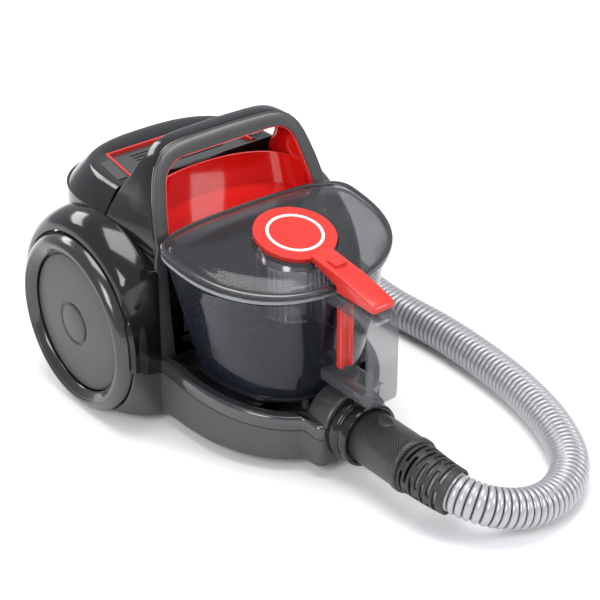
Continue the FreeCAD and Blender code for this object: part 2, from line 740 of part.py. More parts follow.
# ---------------------------------------------------------------------------------------------
# Front caster
# ---------------------------------------------------------------------------------------------
CASTER_R = S.caster_dia / 2
CASTER_Y = PIVOT_Y + S.caster_trail
fork_gap = S.caster_width / 2 + 0.5
crown_top = WELL_TOP - 0.4
crown = cylinder(CASTER_R + 4, 2.6, (0, PIVOT_Y, crown_top - 2.6))
stem = cylinder(4, 15, (0, PIVOT_Y, crown_top - 1))
arm_low = CASTER_R - 5
arms = [box(2.4, 12, crown_top - 1 - arm_low, (x, CASTER_Y - 6, arm_low))
        for x in (fork_gap + 1.2, -fork_gap - 1.2)]
pin_hole = cylinder(2, 60, (-30, CASTER_Y, CASTER_R), (1, 0, 0))
keep(cut(fuse(crown, stem, *arms), pin_hole), "caster_fork")
keep(cylinder(2, S.caster_width + 5.8, (-S.caster_width / 2 - 2.9, CASTER_Y, CASTER_R), (1, 0, 0)),
     "caster_axle")
turned("caster_wheel",
       [(2 + S.running_gap, 0), (CASTER_R - 2, 0), (CASTER_R, 2),
        (CASTER_R, S.caster_width - 2), (CASTER_R - 2, S.caster_width),
        (2 + S.running_gap, S.caster_width)],
       (-S.caster_width / 2, CASTER_Y, CASTER_R), (1, 0, 0))


# ---------------------------------------------------------------------------------------------
# Hose port and the duct to the bin
# ---------------------------------------------------------------------------------------------
COLLAR_R = S.collar_dia / 2
CONNECTOR_R = S.connector_dia / 2
BORE_R = CONNECTOR_R - 6.5
collar_length = S.collar_ahead - S.port_ahead
turned("inlet_collar",
       [(BORE_R + 0.3, 0), (COLLAR_R - 4, 0), (COLLAR_R - 4, 14), (COLLAR_R + 2, 14),
        (COLLAR_R + 2, collar_length - 0.5), (COLLAR_R, collar_length + 4),
        (COLLAR_R, collar_length + 12), (COLLAR_R - 2, collar_length + 14),
        (BORE_R + 0.3, collar_length + 14)],
       (0, ahead(S.port_ahead - 12 - 2), PORT_Z), (0, -1, 0))

DUCT_R = S.duct_dia / 2
DUCT_WALL = 2.0
duct_top = 148.0
duct_y = ahead(67)
duct_low = float(PORT_Z)
duct_route = [V(0, float(ahead(S.port_ahead - 12)), duct_low),
              V(0, float(ahead(238)), duct_low),
              V(DUCT_X, float(ahead(198)), duct_low),
              V(DUCT_X, float(duct_y), duct_low),
              V(DUCT_X, float(duct_y), duct_top),
              V(DUCT_X, float(ahead(92)), duct_top)]


def rounded_path(points, radii):
    """Straight runs joined by tangent arcs, as one wire."""
    edges = []
    start = points[0]
    for before, corner, after, radius in zip(points, points[1:], points[2:], radii):
        into = (corner - before).normalize()
        out = (after - corner).normalize()
        half_turn = into.getAngle(out) / 2
        reach = radius * math.tan(half_turn)
        first = corner - into * reach
        last = corner + out * reach
        bisector = (out - into).normalize()
        centre = corner + bisector * (radius / math.cos(half_turn))
        middle = centre - bisector * radius
        if (first - start).Length > 1e-6:
            edges.append(Part.LineSegment(start, first).toShape())
        edges.append(Part.Arc(first, middle, last).toShape())
        start = last
    edges.append(Part.LineSegment(start, points[-1]).toShape())
    return Part.Wire(edges)


def swept(path, radius, start, direction):
    disc = Part.Wire([Part.makeCircle(float(radius), start, direction)])
    return path.makePipeShell([disc], True, False)


duct_path = rounded_path(duct_route, [26, 26, 24, 18])
moulded("inlet_duct", swept(duct_path, DUCT_R, duct_route[0], V(0, 1, 0)).cut(
    swept(duct_path, DUCT_R - DUCT_WALL, duct_route[0], V(0, 1, 0))))


# ---------------------------------------------------------------------------------------------
# Bin: body, flap, lid with its disc and arm, grip
# ---------------------------------------------------------------------------------------------
BIN_Z = S.bin_floor
LID_Z = S.lid_height
LID_Y = ahead(S.lid_centre_ahead)
TILT = math.radians(float(S.lid_tilt))


def lid_plane(ahead_of_axle, lift=0.0):
    """Height of the tilted plane between the bin and its lid."""
    return float(LID_Z) + lift + math.tan(TILT) * (float(S.lid_centre_ahead) - ahead_of_axle)


def below_lid(lift=0.0):
    return prism([(ahead(400), 0), (ahead(0), 0), (ahead(0), lid_plane(0, lift)),
                  (ahead(400), lid_plane(400, lift))], "x", -300, 300)


def bin_solid(inset, low):
    """The tapering cup, cut off later by the lid's plane."""
    top = 240.0
    share = (top - float(BIN_Z)) / 134.0
    flare = float(S.bin_flare) * share
    bottom = bin_wire(low, S.bin_half_width - inset, ahead(S.bin_rear_ahead) - inset,
                      ahead(S.bin_front_ahead) + inset)
    mouth = bin_wire(top, S.bin_half_width + flare - inset,
                     ahead(S.bin_rear_ahead - 9 * share) - inset,
                     ahead(S.bin_front_ahead + 13 * share) + inset)
    return lofted(bottom, mouth)


def make_bin_body():
    shell = bin_solid(0, BIN_Z).cut(bin_solid(S.bin_wall, float(BIN_Z) - 0.01))
    inlet = round_bar(DUCT_R - 1, 30, (DUCT_X, ahead(104), duct_top), (0, 1, 0))
    hinge_lug = block(-LUG_HALF, LUG_HALF, ahead(S.bin_rear_ahead) - 1,
                      ahead(S.bin_rear_ahead - 8), BIN_Z, BIN_Z + 8)
    pin_way = round_bar(1.5, 80, (-40, HINGE_Y, HINGE_Z), (1, 0, 0))
    lug = hinge_lug.cut(bin_solid(0, BIN_Z))
    return shell.fuse(lug).common(below_lid(-3.3)).cut(inlet).cut(pin_way)


LUG_HALF = 18.0
KNUCKLE_LENGTH = 8.0
PIN_HALF = LUG_HALF + 1 + KNUCKLE_LENGTH
HINGE_Y = ahead(S.bin_rear_ahead - 5)
HINGE_Z = BIN_Z + 3
moulded("bin_body", make_bin_body())

flap_low = S.bay_floor + S.bay_wall + 0.6
flap = Part.Face(bin_wire(flap_low, S.bin_half_width, ahead(S.bin_rear_ahead),
                          ahead(S.bin_front_ahead))).extrude(V(0, 0, 2.6))
knuckles = [block(x, x + KNUCKLE_LENGTH, ahead(S.bin_rear_ahead) - 2,
                  ahead(S.bin_rear_ahead - 6.6), flap_low, float(flap_low) + 2.6).fuse(
    round_bar(2.6, KNUCKLE_LENGTH, (x, HINGE_Y, HINGE_Z), (1, 0, 0))).fuse(
    block(x, x + KNUCKLE_LENGTH, float(HINGE_Y) - 0.6, float(HINGE_Y) + 2.6, flap_low, HINGE_Z))
    for x in (-LUG_HALF - 1 - KNUCKLE_LENGTH, LUG_HALF + 1)]
moulded("bin_flap", flap.fuse(knuckles).cut(
    round_bar(1.5 + float(S.running_gap), 90, (-45, HINGE_Y, HINGE_Z), (1, 0, 0))))
seal_low = float(flap_low) + 2.6
moulded("flap_seal", Part.Face(bin_wire(seal_low, S.bin_half_width, ahead(S.bin_rear_ahead),
                                        ahead(S.bin_front_ahead))).extrude(V(0, 0, 0.8)).cut(
    Part.Face(bin_wire(seal_low - 1, S.bin_half_width - 4, ahead(S.bin_rear_ahead + 4),
                       ahead(S.bin_front_ahead - 4))).extrude(V(0, 0, 3))))
keep(cylinder(1.5, 2 * PIN_HALF, (-PIN_HALF, HINGE_Y, HINGE_Z), (1, 0, 0)), "flap_pin")


def tilted(shape, lift=0.0, angle=None):
    """Turns a shape made flat round the lid's centre to the lid's tilt and puts it in place."""
    turn = math.degrees(TILT) if angle is None else angle
    moved = shape.copy()
    moved.Placement = FreeCAD.Placement(V(0, float(LID_Y), float(LID_Z) + lift),
                                        FreeCAD.Rotation(V(1, 0, 0), turn))
    return moved


LID_REAR = float(S.lid_centre_ahead - S.lid_rear_ahead)
LID_FRONT = float(S.lid_centre_ahead - S.lid_front_ahead)
DISC_R = S.disc_dia / 2
FLANGE_HALF = 78
LID_SLOPE = 30


def lid_wire(z, inset):
    return bin_wire(z, S.lid_half_width - inset, LID_REAR - inset, LID_FRONT + inset)


def make_lid():
    wall = float(S.bin_wall)
    rim = Part.Face(lid_wire(-3, 0)).extrude(V(0, 0, 6)).cut(
        Part.Face(lid_wire(-4, 5)).extrude(V(0, 0, 8)))
    top = lofted(lid_wire(3, 1.5), lid_wire(9, LID_SLOPE)).cut(
        lofted(lid_wire(3 - wall, 1.5), lid_wire(9 - wall, LID_SLOPE)))
    boss = Part.makeCylinder(float(DISC_R) + 2, 10, V(0, 0, 1)).cut(
        Part.makeCylinder(float(DISC_R) - 1, 14, V(0, 0, 0)))
    flange = block(-FLANGE_HALF, FLANGE_HALF, LID_REAR - 4, LID_REAR + 12, 0, 3)
    return rim.fuse([top, boss, flange])


disc_lift = float(S.disc_height - S.lid_height)
disc_room = tilted(Part.makeCylinder(float(DISC_R) + 0.3, 34, V(0, 0, -4.7)), disc_lift,
                   float(S.disc_tilt))
moulded("bin_lid", tilted(make_lid()).cut(disc_room))
moulded("lid_disc", tilted(Part.makeCylinder(float(DISC_R), 4.5, V(0, 0, -4.5)), disc_lift,
                           float(S.disc_tilt)))
moulded("lid_ring", tilted(Part.makeCylinder(29, 0.6, V(0, 0, 0)).cut(
    Part.makeCylinder(26, 2, V(0, 0, -1))), disc_lift, float(S.disc_tilt)))

ARM_HALF = 14.0


def make_arm():
    """The red bar from the disc over the lid's front edge to the top of the grip."""
    def top_at(distance):
        return lid_plane(distance, 19.0)
    start = float(S.lid_centre_ahead) + float(DISC_R) - 3
    edge = float(S.lid_front_ahead)
    end = float(S.grip_ahead) - 6
    thick = 7.0
    top = [(start, top_at(start)), (edge + 18, top_at(edge + 18)), (end - 6, 199), (end, 190)]
    under = [(end, 186.5), (edge + 2, 186.5), (edge + 1, lid_plane(edge, 6)),
             (start, top_at(start) - thick)]
    profile = [(ahead(distance), z) for distance, z in top + under]
    bar = prism(profile, "x", -ARM_HALF, ARM_HALF)
    slot = block(-7, 7, ahead(edge + 4), ahead(edge - 22), top_at(edge - 10) - 4.5, 260)
    disc = tilted(Part.makeCylinder(float(DISC_R) + 0.01, 30, V(0, 0, -15)), disc_lift,
                  float(S.disc_tilt))
    return bar.cut(slot).cut(disc)


moulded("lid_arm", make_arm())
slider_z = lid_plane(float(S.lid_front_ahead) - 10, 19.0)
moulded("release_slider", block(-6.6, 6.6, ahead(S.lid_front_ahead - 6), ahead(S.lid_front_ahead - 21),
                                slider_z - 4.3, slider_z + 2.5))


def make_grip():
    """The clear loop on the bin's front: two arms and a post."""
    half = float(S.grip_half_width)
    front = float(S.grip_ahead)
    wall_y = float(S.bin_front_ahead) - 6
    outer = prism([(ahead(wall_y), 186), (ahead(front - 8), 186), (ahead(front), 178),
                   (ahead(front), 108), (ahead(front - 10), 98), (ahead(wall_y), 98)],
                  "x", -half, half)
    inner = prism([(ahead(wall_y - 1), 174), (ahead(front - 20), 174), (ahead(front - 13), 168),
                   (ahead(front - 13), 114), (ahead(front - 20), 108), (ahead(wall_y - 1), 108)],
                  "x", -half - 1, half + 1)
    rod_way = block(-4.5, 4.5, ahead(S.bin_front_ahead + 26), ahead(S.bin_front_ahead + 14), 90, 200)
    return outer.cut(inner).cut(bin_solid(0, BIN_Z)).cut(rod_way)


moulded("bin_grip", make_grip())
keep(box(8, 8, 84, (0, ahead(S.bin_front_ahead + 24), 99)), "push_rod")

shroud_r = S.shroud_dia / 2
shroud_top = LID_Z - 1


def make_shroud():
    """A ring of upright fins round a tube, hanging under the lid."""
    radius = float(shroud_r)
    height = float(S.shroud_height)
    low = float(shroud_top) - height
    centre = V(0, float(LID_Y), low)
    up = V(0, 0, 1)
    core = Part.makeCylinder(radius - 5, height, centre, up).cut(
        Part.makeCylinder(radius - 7, height - 4, centre + V(0, 0, -1), up))
    rims = [Part.makeCylinder(radius, 3, centre + V(0, 0, lift), up).cut(
        Part.makeCylinder(radius - 5.5, 3, centre + V(0, 0, lift), up)) for lift in (0, height - 8)]
    fin = Part.makeBox(5, 1.4, height - 8, centre + V(radius - 5.5, -0.7, 0))
    fins = []
    for i in range(36):
        turned_fin = fin.copy()
        turned_fin.rotate(centre, up, 10.0 * i)
        fins.append(turned_fin)
    return core.fuse(rims + fins)


moulded("cyclone_shroud", make_shroud().common(below_lid(-0.6)))
turned("cyclone_cone", [(12, 0), (14, 0), (30, 40), (30, 58), (28, 58), (28, 40.5)],
       (0, LID_Y, LID_Z - 76))

# ---------------------------------------------------------------------------------------------
# Motor, filters and cord store inside the body
# ---------------------------------------------------------------------------------------------
MOTOR_Z = S.motor_height
MOTOR_R = S.motor_dia / 2
motor_front = ahead(22)
turned("motor_housing",
       [(22, 0), (MOTOR_R, 0), (MOTOR_R, S.motor_length), (14, S.motor_length),
        (14, S.motor_length - 2.5), (MOTOR_R - 2.5, S.motor_length - 2.5), (MOTOR_R - 2.5, 2.5),
        (22, 2.5)],
       (0, motor_front, MOTOR_Z), (0, 1, 0))
turned("motor_stator",
       [(24, 36), (MOTOR_R - 2.5, 36), (MOTOR_R - 2.5, 78), (24, 78)],
       (0, motor_front, MOTOR_Z), (0, 1, 0))
turned("motor_rotor",
       [(0, 1), (4, 1), (4, 38), (22, 38), (22, 76), (4, 76), (4, S.motor_length - 2),
        (0, S.motor_length - 2)],
       (0, motor_front, MOTOR_Z), (0, 1, 0))
turned("impeller",
       [(4, 9), (18, 9), (40, 15), (40, 28), (4, 31)],
       (0, motor_front, MOTOR_Z), (0, 1, 0))
bearing_r = 4 + S.running_gap
keep(fuse(tube(14, bearing_r, 8, (0, motor_front + S.motor_length - 9, MOTOR_Z), (0, 1, 0)),
          tube(22, bearing_r, 5, (0, motor_front, MOTOR_Z), (0, 1, 0))), "motor_bearings")
keep(fuse(tube(MOTOR_R + 5, MOTOR_R, 12, (0, motor_front + 10, MOTOR_Z), (0, 1, 0)),
          tube(MOTOR_R + 5, MOTOR_R, 12, (0, motor_front + S.motor_length - 22, MOTOR_Z),
               (0, 1, 0))), "motor_mounts")

keep(box(94, 14, 84, (0, ahead(S.bulkhead_ahead) + 6, MOTOR_Z - 11)), "motor_filter")


def make_grille():
    frame = block(-47, 47, ahead(S.bulkhead_ahead) - 0.5, ahead(S.bulkhead_ahead) + 5.5,
                  MOTOR_Z - 11, MOTOR_Z + 73)
    for i in range(9):
        z_slot = float(MOTOR_Z) - 5 + 8.5 * i
        frame = frame.cut(block(-42, 42, ahead(S.bulkhead_ahead) - 1, ahead(S.bulkhead_ahead) + 7,
                                z_slot, z_slot + 5))
    return frame


moulded("filter_grille", make_grille())

REEL_Y = AXLE_Y + 30
REEL_Z = S.reel_height
REEL_R = S.reel_dia / 2
SPINDLE_R = S.spindle_dia / 2
turned("reel_drum",
       [(SPINDLE_R + S.running_gap, 0), (REEL_R, 0), (REEL_R, 2), (36, 2),
        (36, S.reel_width - 2), (REEL_R, S.reel_width - 2), (REEL_R, S.reel_width),
        (SPINDLE_R + S.running_gap, S.reel_width)],
       (0, REEL_Y, REEL_Z))
keep(fuse(cylinder(SPINDLE_R, S.reel_width + 4, (0, REEL_Y, REEL_Z - 2)),
          box(2 * S.body_half_width - 12, 26, 3, (0, REEL_Y - 13, REEL_Z - 5))), "reel_stand")
turned("reel_spring_case",
       [(SPINDLE_R, 0), (32, 0), (32, 8), (SPINDLE_R, 8)],
       (0, REEL_Y, REEL_Z - 13.2))
turned("cord_outlet",
       [(4, -7), (10, -7), (10, -3), (7, -3), (7, -0.4), (4, -0.4)],
       (0, AXLE_Y + S.tail_behind, GLAND_Z), (0, 1, 0))
keep(box(44, 24, 1.6, (-62, AXLE_Y + 4, REEL_Z - 12)), "switch_board")
screws = [cylinder(SCREW_R, 12, (across, ahead(forward), FLOOR + 0.2))
          for across, forward in SCREW_PLACES]
keep(fuse(*screws), "housing_screws")


# ---------------------------------------------------------------------------------------------
# Hose: connector, sleeve, hose and hand grip
# ---------------------------------------------------------------------------------------------
connector_back = ahead(S.collar_ahead - 22)
connector_tube = turned_body(
    "hose_connector",
    [(BORE_R - 3, 0), (BORE_R, 0), (BORE_R, 22.5), (CONNECTOR_R, 22.5),
     (CONNECTOR_R, 22 + S.connector_length), (S.hose_dia / 2 + 0.5, 22 + S.connector_length),
     (S.hose_dia / 2 + 0.5, 10 + S.connector_length), (BORE_R - 3, 10 + S.connector_length)],
    (0, connector_back, PORT_Z), (0, -1, 0))
BUTTON_LOW = PORT_Z + CONNECTOR_R - 2.5
well_low = BUTTON_LOW - S.button_travel - 0.4
button_well = box(14.8, 22.8, 12, (0, ahead(S.collar_ahead + 30.4), well_low))
keep(cut(connector_tube, button_well), "hose_connector")
keep(box(14, 22, 4.5, (0, ahead(S.collar_ahead + 30), BUTTON_LOW)), "connector_button")
sleeve_start = ahead(S.collar_ahead + S.connector_length)
turned("hose_sleeve",
       [(S.hose_dia / 2 + 1.6, 0.2), (CONNECTOR_R - 1.5, 0.2),
        (S.hose_dia / 2 + 4, S.sleeve_length), (S.hose_dia / 2 + 1.6, S.sleeve_length)],
       (0, sleeve_start, PORT_Z), (0, -1, 0))

lie = 20.5
HOSE_ROUTE = [(0, 371, 47.5), (0, 424, 45.5), (45, 455, 30), (100, 452, 21.5), (150, 421, lie),
              (182, 366, lie), (203, 300, lie), (214, 226, lie), (218, 150, lie), (212, 74, lie),
              (220, 0, lie), (236, -74, lie), (271, -139, lie), (291, -208, lie),
              (273, -268, lie), (231, -304, lie), (177, -310, lie), (130, -287, lie),
              (99, -247, lie)]


def cord_path(route):
    """Runs joined by the largest arcs they allow: 0.45 of the shorter run, over tan(half turn)."""
    radii = []
    for before, corner, after in zip(route, route[1:], route[2:]):
        into = corner - before
        out = after - corner
        half_turn = into.getAngle(out) / 2
        radii.append(0.45 * min(into.Length, out.Length) / math.tan(half_turn))
    return rounded_path(route, radii), radii


hose_points = [V(x, float(ahead(front)), z) for x, front, z in HOSE_ROUTE]
hose_wire, hose_radii = cord_path(hose_points)
hose_start = hose_points[0]
hose_way = (hose_points[1] - hose_points[0]).normalize()
hose_solid = swept(hose_wire, S.hose_dia / 2, hose_start, hose_way)
moulded("hose", hose_solid)
print("hose length %.1f mm, radii %s" % (hose_wire.Length, [round(r) for r in hose_radii]))
print("hose volume ratio %.4f" % (
    hose_solid.Volume / (math.pi * float(S.hose_dia / 2) ** 2 * hose_wire.Length)))

grip_start = hose_points[-1]
grip_way = (hose_points[-1] - hose_points[-2]).normalize()
grip_turn = FreeCAD.Rotation(V(0, 0, 1), -48)
grip_elbow = grip_start + grip_way * 62
grip_out = grip_turn.multVec(grip_way)
grip_end = grip_elbow + grip_out * 112
SPIGOT_R = S.spigot_dia / 2


def make_hand_grip():
    """A swivel cuff on the hose, a bent tube to hold, and the spigot that takes the wand."""
    path = rounded_path([grip_start, grip_elbow, grip_end], [60])
    bent = swept(path, SPIGOT_R, grip_start, grip_way)
    cuff = Part.makeCylinder(float(S.hose_dia) / 2 + 0.4, 34, grip_start, grip_way)
    handle_end = grip_end - grip_out * float(S.spigot_length)
    stop = Part.makeCylinder(float(SPIGOT_R) + 2.2, 10, handle_end - grip_out * 10, grip_out)
    bore = swept(path, SPIGOT_R - 2.4, grip_start, grip_way)
    slot = Part.makeBox(11, 30, 12, V(-5.5, -15, 0))
    slot.Placement = FreeCAD.Placement(slider_base, slider_turn).multiply(slot.Placement)
    return bent.fuse([cuff, stop]).cut(bore).cut(slot)


slider_turn = FreeCAD.Rotation(V(0, 1, 0), grip_out)
slider_base = grip_end - grip_out * (float(S.spigot_length) + 34) + V(0, 0, float(SPIGOT_R) - 3)
moulded("hose_grip", make_hand_grip())
slider = Part.makeBox(10.4, 14, 5, V(-5.2, -7, 0.2))
slider.Placement = FreeCAD.Placement(slider_base, slider_turn).multiply(slider.Placement)
moulded("suction_slider", slider)
print("spigot end (%.3f, %.3f, %.3f) way (%.5f, %.5f)" % (
    grip_end.x, grip_end.y, grip_end.z, grip_out.x, grip_out.y))

# ---------------------------------------------------------------------------------------------
# Check and write every sub-part
# ---------------------------------------------------------------------------------------------
doc.recompute()
for item in doc.Objects:
    bad = [state for state in item.State if state in ("Invalid", "Error")]
    if bad:
        raise RuntimeError("%s (%s) is %s" % (item.Name, item.Label, bad))
labels = [piece.Label for piece in nodes]
if len(set(labels)) != len(labels):
    raise RuntimeError("two sub-parts share a label")
for piece in nodes:
    if piece.Shape.isNull() or not piece.Shape.isValid():
        raise RuntimeError(piece.Label + " has no valid shape")
os.makedirs("parts", exist_ok=True)
for piece in nodes:
    piece.Shape.exportStep("parts/%s.step" % piece.Label)
print("%d sub-parts written" % len(nodes))
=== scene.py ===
"""Canister vacuum cleaner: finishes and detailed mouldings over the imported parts, in metres."""
import json
import math
import bmesh
import bpy
from mathutils import Matrix, Vector


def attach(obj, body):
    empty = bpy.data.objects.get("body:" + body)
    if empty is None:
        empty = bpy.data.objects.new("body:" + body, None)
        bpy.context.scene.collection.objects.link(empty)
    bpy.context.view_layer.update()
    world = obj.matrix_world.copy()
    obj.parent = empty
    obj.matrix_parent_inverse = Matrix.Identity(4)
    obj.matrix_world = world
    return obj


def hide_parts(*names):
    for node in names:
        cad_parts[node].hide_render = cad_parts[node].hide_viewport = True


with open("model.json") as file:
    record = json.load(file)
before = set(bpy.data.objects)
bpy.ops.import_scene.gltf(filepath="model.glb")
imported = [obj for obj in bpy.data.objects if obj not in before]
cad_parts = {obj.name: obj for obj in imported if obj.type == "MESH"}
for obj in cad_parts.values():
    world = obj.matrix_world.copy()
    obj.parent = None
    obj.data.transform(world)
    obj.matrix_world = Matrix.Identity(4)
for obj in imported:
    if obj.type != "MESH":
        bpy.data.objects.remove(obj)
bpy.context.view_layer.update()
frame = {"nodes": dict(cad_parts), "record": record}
nodes = frame["nodes"]
scene = bpy.context.scene
scene.view_settings.view_transform = "Standard"

# Millimetres, in the part's own frame.
AXLE_Y = 98.5
AXLE_Z = 95.0
PORT_Z = 47.5


def at(x, ahead, z):
    """A point from millimetres: across, ahead of the rear axle, above the floor."""
    return Vector((x, AXLE_Y - ahead, z)) * 0.001


# ---------------------------------------------------------------- camera
azimuth = math.radians(-38.181)
elevation = math.radians(29.883)
back = Vector((math.sin(azimuth) * math.cos(elevation), -math.cos(azimuth) * math.cos(elevation),
               math.sin(elevation)))
right = Vector((math.cos(azimuth), math.sin(azimuth), 0))
above = back.cross(right)
camera_data = bpy.data.cameras.new("camera")
camera_data.lens = 120
camera_data.sensor_width = 36
camera_data.clip_start = 0.05
camera = bpy.data.objects.new("camera", camera_data)
camera.matrix_world = Matrix.Translation((-1.05545, -1.42435, 1.13145)) @ Matrix(
    (right, above, back)).transposed().to_4x4()
scene.collection.objects.link(camera)
scene.camera = camera


# ---------------------------------------------------------------- finishes
COAT_ROUGHNESS = 0.05
GRAIN_DEPTH = 0.0003


def shader(name, color, roughness=0.4, metallic=0.0, coat=0.0, specular=0.5, mottle=0.06,
           mottle_scale=30.0, grain=0.0, grain_scale=1800.0, rough_swing=0.06):
    """A moulded or metal finish: slow colour drift, uneven gloss and a fine grain."""
    material = bpy.data.materials.new(name)
    material.use_nodes = True
    tree = material.node_tree
    main = tree.nodes["Principled BSDF"]
    main.inputs["Metallic"].default_value = metallic
    main.inputs["Coat Weight"].default_value = coat
    main.inputs["Coat Roughness"].default_value = COAT_ROUGHNESS
    main.inputs["Specular IOR Level"].default_value = specular
    place = tree.nodes.new("ShaderNodeTexCoord")
    drift = tree.nodes.new("ShaderNodeTexNoise")
    drift.inputs["Scale"].default_value = mottle_scale
    drift.inputs["Detail"].default_value = 4
    tree.links.new(place.outputs["Object"], drift.inputs["Vector"])
    tint = tree.nodes.new("ShaderNodeMix")
    tint.data_type = "RGBA"
    tint.inputs["A"].default_value = [c * (1 - mottle) for c in color] + [1]
    tint.inputs["B"].default_value = [min(1.0, c * (1 + mottle)) for c in color] + [1]
    tree.links.new(drift.outputs["Fac"], tint.inputs["Factor"])
    tree.links.new(tint.outputs["Result"], main.inputs["Base Color"])
    gloss = tree.nodes.new("ShaderNodeMapRange")
    gloss.inputs["To Min"].default_value = max(0.02, roughness - rough_swing)
    gloss.inputs["To Max"].default_value = roughness + rough_swing
    tree.links.new(drift.outputs["Fac"], gloss.inputs["Value"])
    tree.links.new(gloss.outputs["Result"], main.inputs["Roughness"])
    if grain:
        speck = tree.nodes.new("ShaderNodeTexNoise")
        speck.inputs["Scale"].default_value = grain_scale
        speck.inputs["Detail"].default_value = 2
        tree.links.new(place.outputs["Object"], speck.inputs["Vector"])
        relief = tree.nodes.new("ShaderNodeBump")
        relief.inputs["Strength"].default_value = grain
        relief.inputs["Distance"].default_value = GRAIN_DEPTH
        tree.links.new(speck.outputs["Fac"], relief.inputs["Height"])
        tree.links.new(relief.outputs["Normal"], main.inputs["Normal"])
    return material


def clear_shader(name, color, face_alpha, edge_alpha, roughness):
    """Smoke-tinted clear moulding: thin to look through, denser at its edges."""
    material = shader(name, color, roughness, coat=0.25, mottle=0.05, rough_swing=0.004)
    tree = material.node_tree
    main = tree.nodes["Principled BSDF"]
    weight = tree.nodes.new("ShaderNodeLayerWeight")
    weight.inputs["Blend"].default_value = 0.35
    density = tree.nodes.new("ShaderNodeMapRange")
    density.inputs["From Min"].default_value = 0.4
    density.inputs["To Min"].default_value = face_alpha
    density.inputs["To Max"].default_value = edge_alpha
    tree.links.new(weight.outputs["Facing"], density.inputs["Value"])
    tree.links.new(density.outputs["Result"], main.inputs["Alpha"])
    material.surface_render_method = "BLENDED"
    return material


def banded(material, values, attribute):
    """Runs the colour from the first value to the second as the piece's attribute rises."""
    tree = material.node_tree
    main = tree.nodes["Principled BSDF"]
    read = tree.nodes.new("ShaderNodeAttribute")
    read.attribute_name = attribute
    ramp = tree.nodes.new("ShaderNodeValToRGB")
    ramp.color_ramp.elements[0].position = 0.15
    ramp.color_ramp.elements[1].position = 0.75
    ramp.color_ramp.elements[0].color = list(values[0]) + [1]
    ramp.color_ramp.elements[1].color = list(values[1]) + [1]
    tree.links.new(read.outputs["Fac"], ramp.inputs["Fac"])
    tree.links.new(ramp.outputs["Color"], main.inputs["Base Color"])
    return material


base_grey = shader("base_grey", (0.058, 0.057, 0.055), 0.46, grain=0.25, specular=0.4)
shell_black = shader("shell_black", (0.006, 0.006, 0.007), 0.14, coat=0.3, specular=0.35,
                     mottle=0.1, rough_swing=0.03)
trim_grey = shader("trim_grey", (0.125, 0.125, 0.125), 0.36, grain=0.1, specular=0.45)
band_gloss = shader("band_gloss", (0.03, 0.03, 0.033), 0.16, coat=0.6, mottle=0.08, rough_swing=0.03)
# A lighter clear finish for the ring round the bin's mouth: a painted highlight along the rim.
rim_painted_highlight = clear_shader("rim_painted_highlight", (0.3, 0.31, 0.33), 0.55, 0.9, 0.08)
lid_edge = shader("lid_edge", (0.02, 0.021, 0.023), 0.12, coat=0.5, rough_swing=0.03)
face_grey = shader("face_grey", (0.034, 0.034, 0.036), 0.3, grain=0.08, coat=0.2)
cover_grey = shader("cover_grey", (0.035, 0.035, 0.036), 0.24, grain=0.06, coat=0.3)
pedal_grey = shader("pedal_grey", (0.05, 0.05, 0.051), 0.34, grain=0.1)
satin_red = shader("satin_red", (0.52, 0.022, 0.015), 0.32, coat=0.2, specular=0.4, mottle=0.03)
liner_red = shader("liner_red", (0.6, 0.008, 0.006), 0.12, coat=0.8, mottle=0.04, rough_swing=0.03)
ring_white = shader("ring_white", (0.85, 0.83, 0.81), 0.4, mottle=0.02)
tyre_black = shader("tyre_black", (0.014, 0.014, 0.015), 0.2, coat=0.5, mottle=0.1, rough_swing=0.04)
disc_grey = shader("disc_grey", (0.048, 0.047, 0.044), 0.4, grain=0.12, specular=0.4)
steel = shader("steel", (0.55, 0.55, 0.56), 0.3, metallic=1.0)
inner_grey = shader("inner_grey", (0.2, 0.2, 0.205), 0.42, grain=0.15)
rubber_black = shader("rubber_black", (0.016, 0.016, 0.016), 0.5, grain=0.2)
filter_foam = shader("filter_foam", (0.7, 0.7, 0.66), 0.85, grain=0.6, grain_scale=700, mottle=0.12)
motor_metal = shader("motor_metal", (0.2, 0.2, 0.21), 0.45, metallic=0.8)
shroud_metal = shader("shroud_metal", (0.5, 0.5, 0.54), 0.16, metallic=1.0)
fan_alloy = shader("fan_alloy", (0.7, 0.71, 0.73), 0.3, metallic=1.0)
board_green = shader("board_green", (0.02, 0.12, 0.05), 0.4, mottle=0.3, mottle_scale=300)
connector_black = shader("connector_black", (0.022, 0.022, 0.023), 0.34, grain=0.1)
bin_smoke = clear_shader("bin_smoke", (0.012, 0.014, 0.022), 0.5, 0.97, 0.09)
lid_smoke = clear_shader("lid_smoke", (0.06, 0.063, 0.068), 0.26, 0.85, 0.1)
grip_smoke = clear_shader("grip_smoke", (0.1, 0.1, 0.108), 0.42, 0.92, 0.05)
# The hose's colour runs from dark in the troughs between its ribs to light on their crests: painted shade
# in the troughs.
hose_painted_trough_shade = banded(shader("hose_painted_trough_shade", (0.5, 0.5, 0.5), 0.26, coat=0.3, metallic=0.25),
                     ((0.035, 0.036, 0.04), (0.37, 0.375, 0.39)), "crest")

SLOT_FINISH = {
    "base_grey": base_grey, "shell_black": shell_black, "trim_grey": trim_grey,
    "cover_grey": cover_grey, "accent_red": satin_red, "ring_white": ring_white,
    "bin_smoke": bin_smoke, "tyre_black": tyre_black, "disc_grey": disc_grey, "steel": steel,
    "inner_grey": inner_grey, "rubber_black": rubber_black, "filter_foam": filter_foam,
    "motor_metal": motor_metal, "fan_alloy": fan_alloy, "board_green": board_green,
    "hose_grey": hose_painted_trough_shade, "connector_black": connector_black,
}
NODE_FINISH = {"handle_liner": liner_red, "handle_trim": face_grey, "bin_surround": band_gloss,
               "cyclone_shroud": shroud_metal, "power_pedal": pedal_grey, "rewind_pedal": pedal_grey}
for part in frame["record"]["subparts"]:
    finish_of_node = NODE_FINISH.get(part["node"], SLOT_FINISH[part["material_slot"]])
    node_mesh = nodes[part["node"]].data
    node_mesh.materials.clear()
    node_mesh.materials.append(finish_of_node)


